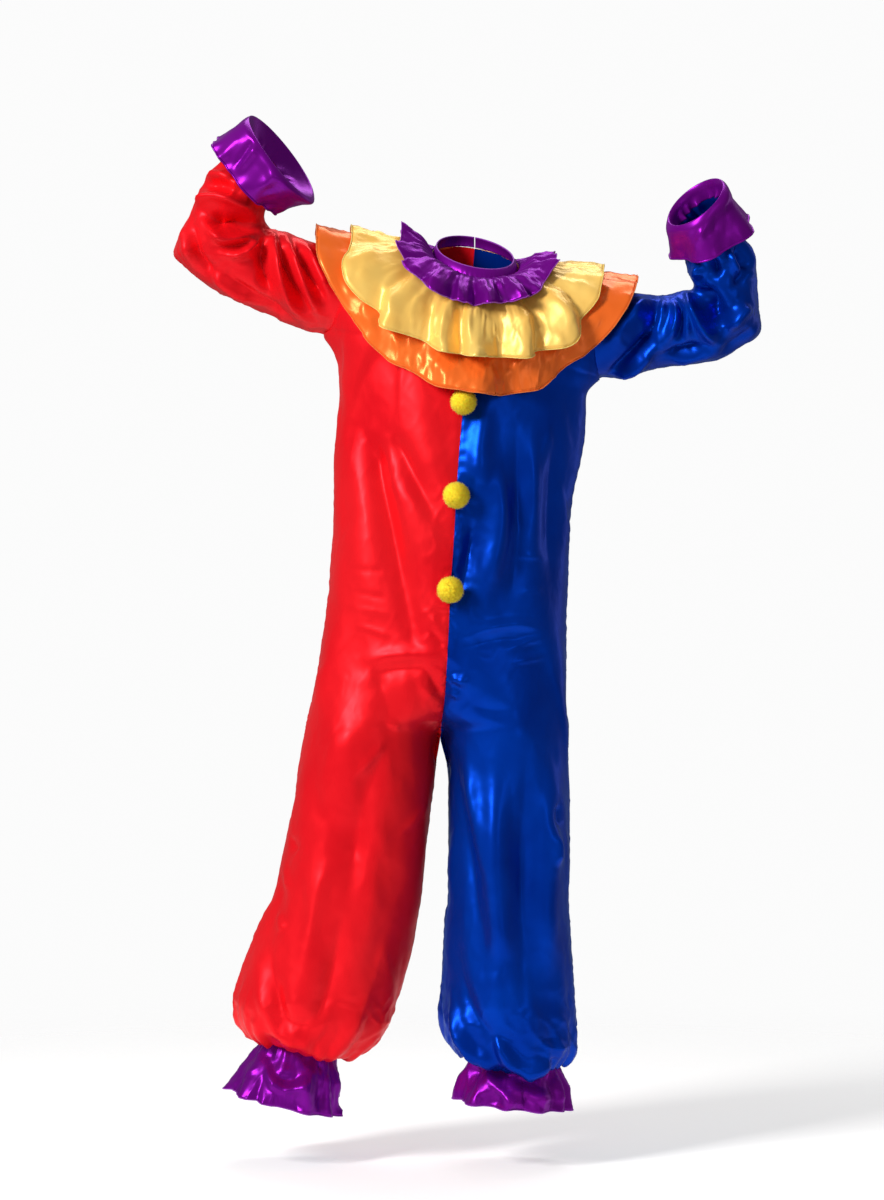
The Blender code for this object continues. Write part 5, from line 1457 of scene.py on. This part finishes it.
def make_ankle_ruffle(side, materials):
    """A ruffle that hangs from the ankle elastic in uneven folds."""
    angles = np.linspace(-math.pi, math.pi, ANKLE_AROUND, endpoint=False)
    rings = []
    for row in ANKLES[side]:
        section = named(ANKLE_COLUMNS, row)
        slope = math.tan(math.radians(section["tilt"]))
        x = section["half_width"] * np.cos(angles)
        y = section["half_depth"] * np.sin(angles)
        place = (section["middle_x"] + x, section["middle_y"] + y, section["height"] - slope * x)
        rings.append(np.stack(place, -1))
    rings = np.array(rings)
    gaps = np.linalg.norm(np.diff(rings, axis=0), axis=-1).mean(axis=1)
    steps = np.maximum(np.round(gaps / ANKLE_ROW_PITCH), LEAST_STEPS).astype(int)
    grid = smooth_rows(rings, running(gaps), steps)
    share = np.linspace(0, 1, len(grid))[:, None]
    outward = unit((grid - grid.mean(axis=1, keepdims=True)) * np.array((1.0, 1.0, 0.0)))
    degrees = np.degrees(angles)[None, :]
    swell = np.zeros(grid.shape[:2])
    for row in ANKLE_FOLDS[side]:
        fold = named(ANKLE_FOLD_COLUMNS, row)
        sway = ANKLE_SWAY * np.sin(share * ANKLE_SWAY_RUN + fold["direction"])
        apart = np.abs((degrees + sway - fold["direction"] + 180) % 360 - 180) / fold["half_width"]
        crest = np.where(apart < 1, 0.5 + 0.5 * np.cos(math.pi * np.minimum(apart, 1)), 0)
        grown = ease(share / fold["reach"]) ** ANKLE_FOLD_GROWTH
        swell = np.maximum(swell, ANKLE_FOLD_SHARE * fold["height"] * crest * grown)
    swag = crinkles(grid, ANKLE_CRINKLES) * ease(share / ANKLE_CRINKLE_START)
    gather = -gathers(angles, ANKLE_GATHERS, ANKLE_GATHER_SEED)[None, :] * ANKLE_GATHER_HEIGHT
    gather = gather * np.exp(-share / ANKLE_GATHER_REACH) * ease(share / ANKLE_GATHER_START)
    drawn = fold_lines(grid, grid_normals(grid, True, outward), ANKLE_SWAGS[side])
    swag = swag + drawn * ease((1 - share) / ANKLE_SWAG_FADE + ANKLE_SWAG_HEM)
    swag = swag + ANKLE_CRUMPLE * crumples(grid, ANKLE_CRUMPLE_SEED) * ease(share / ANKLE_CRUMPLE_START)
    radial = swell - ANKLE_DRAW_IN * ease(share) + swag + gather
    drop = np.array((0.0, 0.0, -ANKLE_DROP)) * swell[..., None]
    grid = grid + outward * radial[..., None] + drop
    normals = grid_normals(grid, True, outward)
    hem = (f"ankle_{side}_edge", grid[-1], ANKLE_EDGE_RADIUS, "purple_thread")
    return hemmed_sheet("ankle_ruffle_" + side, grid, True, normals, "purple", materials, THIN_CLOTH, hem)


def make_pompom(name, diameter, number, materials):
    """A ball of short wool strands, flattened where it sits on the cloth."""
    low, high = (np.array(corner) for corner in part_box(name))
    middle = (low + high) / 2
    radius = diameter / 2
    centre = np.array((middle[0], low[1] + radius, middle[2]))
    seat = high[1] - centre[1]
    core = bmesh.new()
    bmesh.ops.create_icosphere(core, subdivisions=5, radius=1.0)
    for vert in core.verts:
        away = np.array(vert.co.normalized())
        bump = POMPOM_BUMPS * float(undulation(away[None] * 0.1, POMPOM_BUMP_PITCH, POMPOM_BUMP_SEED)[0])
        length = radius * POMPOM_CORE * (1 + bump)
        if away[1] > 0:
            length = min(length, seat / away[1])
        vert.co = Vector(centre + away * length)
    core_points = np.array([vert.co for vert in core.verts])
    faces = [[vert.index for vert in face.verts] for face in core.faces]
    core.free()
    random = np.random.default_rng(POMPOM_SEED + number)
    directions = unit(random.normal(size=(POMPOM_STRANDS, 3)))
    directions = directions[directions[:, 1] < POMPOM_BARE_FROM]
    count = len(directions)
    reach = radius * random.uniform(*POMPOM_REACH, size=count)
    short = np.minimum(reach, seat / np.maximum(directions[:, 1], 1e-3))
    tips = centre + directions * np.where(directions[:, 1] > 0, short, reach)[:, None]
    tips += random.normal(size=(count, 3)) * STRAND_SPREAD
    roots = centre + directions * (radius * STRAND_ROOT)
    side = unit(np.cross(directions, random.normal(size=(count, 3))))
    other = np.cross(directions, side)
    across = side * STRAND_RADIUS * 0.5
    beside = other * STRAND_RADIUS * TRIANGLE_HEIGHT
    strands = [roots + side * STRAND_RADIUS, roots - across + beside, roots - across - beside, tips]
    points = np.concatenate([core_points, np.stack(strands, 1).reshape(-1, 3)])
    start = len(core_points) + len(strands) * np.arange(count)[:, None]
    for triple in ((0, 1, 3), (1, 2, 3), (2, 0, 3)):
        faces += (start + np.array(triple)).tolist()
    declare(add_mesh("wool_" + name, points, faces, materials["pompom"]), name)


def new_material(name):
    """A material, its node tree and its shader."""
    material = bpy.data.materials.new(name)
    material.use_nodes = True
    return material, material.node_tree, material.node_tree.nodes["Principled BSDF"]


def set_values(node, values):
    """Sets a node's own sockets."""
    for socket, value in values.items():
        node.inputs[socket].default_value = value


def add_node(tree, kind, values, links=None, **properties):
    """A node with its properties, its own values, and links from other nodes' outputs."""
    node = tree.nodes.new("ShaderNode" + kind)
    for name, value in properties.items():
        setattr(node, name, value)
    set_values(node, values)
    for socket, output in (links or {}).items():
        tree.links.new(output, node.inputs[socket])
    return node


def drifting_colour(tree, place, shader, colour, deep, noise, spread):
    """A base colour that drifts between two tones. The noise is given back for the bumps."""
    drift = add_node(tree, "TexNoise", noise, {"Vector": place.outputs["Object"]})
    share = add_node(tree, "MapRange", spread, {"Value": drift.outputs["Fac"]})
    tones = {"A": (*deep, 1.0), "B": (*colour, 1.0)}
    mix = add_node(tree, "Mix", tones, {"Factor": share.outputs["Result"]}, data_type="RGBA")
    tree.links.new(mix.outputs["Result"], shader.inputs["Base Color"])
    return drift


def satin(name, finish):
    """Shiny satin: fine warp streaks, soft crinkles, and a colour that drifts a little."""
    colour, deep, roughness, metallic, crinkle, shine = finish
    material, tree, shader = new_material(name)
    tint = [TINT_LEAST + (1 - TINT_LEAST) * value ** TINT_POWER for value in colour]
    set_values(shader, {"Metallic": metallic, "Specular IOR Level": shine, "Specular Tint": (*tint, 1.0)})
    place = add_node(tree, "TexCoord", {})
    object_place = {"Vector": place.outputs["Object"]}
    spread = {"From Min": 0.30, "From Max": 0.62, "To Min": 0.45}
    drifting_colour(tree, place, shader, colour, deep, {"Scale": 7.0, "Detail": 3.0}, spread)
    gloss = add_node(tree, "TexNoise", {"Scale": 32.0, "Detail": 4.0}, object_place)
    between = {"To Min": roughness - ROUGHNESS_SPREAD, "To Max": roughness + ROUGHNESS_SPREAD}
    rough = add_node(tree, "MapRange", between, {"Value": gloss.outputs["Fac"]})
    tree.links.new(rough.outputs["Result"], shader.inputs["Roughness"])
    ridges = {"Scale": 11.0, "Detail": 3.0, "Distortion": 0.6}
    wrinkle = add_node(tree, "TexNoise", ridges, object_place, noise_type="RIDGED_MULTIFRACTAL")
    height = {"Height": wrinkle.outputs["Fac"]}
    soft = add_node(tree, "Bump", {"Strength": crinkle, "Distance": 0.004}, height)
    threads = add_node(tree, "Mapping", {"Scale": THREADS_PER_METRE}, {"Vector": place.outputs["UV"]})
    streaks = add_node(tree, "TexNoise", {"Scale": 1.0, "Detail": 2.0}, {"Vector": threads.outputs["Vector"]})
    over = {"Height": streaks.outputs["Fac"], "Normal": soft.outputs["Normal"]}
    fine = add_node(tree, "Bump", {"Strength": 0.10, "Distance": 0.0004}, over)
    tree.links.new(fine.outputs["Normal"], shader.inputs["Normal"])
    return material


def wool(name, colour, deep, scale):
    """Matt yarn or thread: a soft sheen over a colour that varies from strand to strand."""
    material, tree, shader = new_material(name)
    sheen = [0.4 + 0.6 * value for value in colour]
    set_values(shader, {"Roughness": 0.85, "Sheen Weight": 0.4, "Sheen Tint": (*sheen, 1.0)})
    place = add_node(tree, "TexCoord", {})
    noise = {"Scale": scale, "Detail": 3.0}
    strands = drifting_colour(tree, place, shader, colour, deep, noise, {"From Min": 0.35, "From Max": 0.62})
    bump = add_node(tree, "Bump", {"Strength": 0.35, "Distance": 0.0006}, {"Height": strands.outputs["Fac"]})
    tree.links.new(bump.outputs["Normal"], shader.inputs["Normal"])
    return material


def make_materials():
    """A satin for each colour of cloth, a thread for the hems, and the pompoms' yarn."""
    materials = {name: satin("satin_" + name, finish) for name, finish in FINISHES.items()}
    for name, colour in THREADS.items():
        deep = tuple(THREAD_DEPTH * value for value in colour)
        materials[name + "_thread"] = wool(name + "_thread", colour, deep, THREAD_SCALE)
    materials["pompom"] = wool("pompom_yarn", *YARN)
    return materials


def area_light(name, place, aim, size, energy, colour):
    """A rectangular lamp that points at a place."""
    data = bpy.data.lights.new(name, "AREA")
    data.shape = "RECTANGLE"
    data.size, data.size_y = size
    data.energy = energy
    data.color = colour
    made = bpy.data.objects.new(name, data)
    made.location = place
    made.rotation_euler = (Vector(aim) - Vector(place)).to_track_quat("-Z", "Y").to_euler()
    bpy.context.scene.collection.objects.link(made)


def make_world():
    """A white backdrop, and a dimmer even light from all sides."""
    world = bpy.data.worlds.new("pale")
    world.use_nodes = True
    tree = world.node_tree
    seen = tree.nodes["Background"]
    white = (1.0, 1.0, 1.0, 1.0)
    set_values(seen, {"Color": white, "Strength": BACKDROP_BRIGHTNESS})
    lit = add_node(tree, "Background", {"Color": white, "Strength": EVEN_LIGHT})
    path = add_node(tree, "LightPath", {})
    shaders = {1: lit.outputs["Background"], 2: seen.outputs["Background"]}
    mix = add_node(tree, "MixShader", {}, {"Fac": path.outputs["Is Camera Ray"], **shaders})
    tree.links.new(mix.outputs["Shader"], tree.nodes["World Output"].inputs["Surface"])
    bpy.context.scene.world = world


def make_floor():
    """A pale round floor whose edge fades into the backdrop."""
    low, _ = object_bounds()
    work = bmesh.new()
    bmesh.ops.create_circle(work, cap_ends=True, radius=FLOOR_RADIUS, segments=FLOOR_SIDES)
    mesh = bpy.data.meshes.new("floor")
    work.to_mesh(mesh)
    work.free()
    material, tree, shader = new_material("floor")
    set_values(shader, FLOOR_FINISH)
    place = add_node(tree, "TexCoord", {})
    length = add_node(tree, "VectorMath", {}, {0: place.outputs["Object"]}, operation="LENGTH")
    solid, gone = (FLOOR_RADIUS * share for share in FLOOR_FADE)
    ends = {"From Min": solid, "From Max": gone, "To Min": 1.0, "To Max": 0.0}
    reach = {"Value": length.outputs["Value"]}
    fade = add_node(tree, "MapRange", ends, reach, interpolation_type="SMOOTHSTEP")
    tree.links.new(fade.outputs["Result"], shader.inputs["Alpha"])
    mesh.materials.append(material)
    floor = bpy.data.objects.new("floor", mesh)
    floor.location = (FLOOR_MIDDLE_X, 0.0, low[2] - FLOOR_BELOW_HEM)
    bpy.context.scene.collection.objects.link(floor)


def make_stage():
    """Floor, lights, pale surroundings and the camera."""
    scene = bpy.context.scene
    scene.view_settings.view_transform = "Standard"
    make_world()
    make_floor()
    for lamp in LIGHTS:
        area_light(*lamp)
    data = bpy.data.cameras.new("camera")
    data.sensor_fit = "VERTICAL"
    data.sensor_height = CAMERA_SENSOR
    data.lens = CAMERA_SENSOR * abs(CAMERA_PLACE[1]) / CAMERA_SEEN_HEIGHT
    data.clip_end = CAMERA_CLIP_END
    camera = bpy.data.objects.new("camera", data)
    camera.location = CAMERA_PLACE
    camera.rotation_euler = (math.radians(90), 0.0, 0.0)
    scene.collection.objects.link(camera)
    scene.camera = camera


def main():
    materials = make_materials()
    grids, closed, normals = body_grids()
    pieces = make_body(grids, closed, normals, materials)
    tree = body_tree(grids, closed)
    for side in HALVES:
        pieces["cuff_" + side] = make_cuff(side, grids[f"sleeve_{side}"][-1], materials)
        pieces["ankle_ruffle_" + side] = make_ankle_ruffle(side, materials)
    pieces["neckband"] = make_neckband(materials)
    pieces.update(make_tiers(tree, materials))
    for number, (name, diameter) in enumerate(POMPOMS.items()):
        make_pompom(name, diameter, number, materials)
    make_stage()


main()
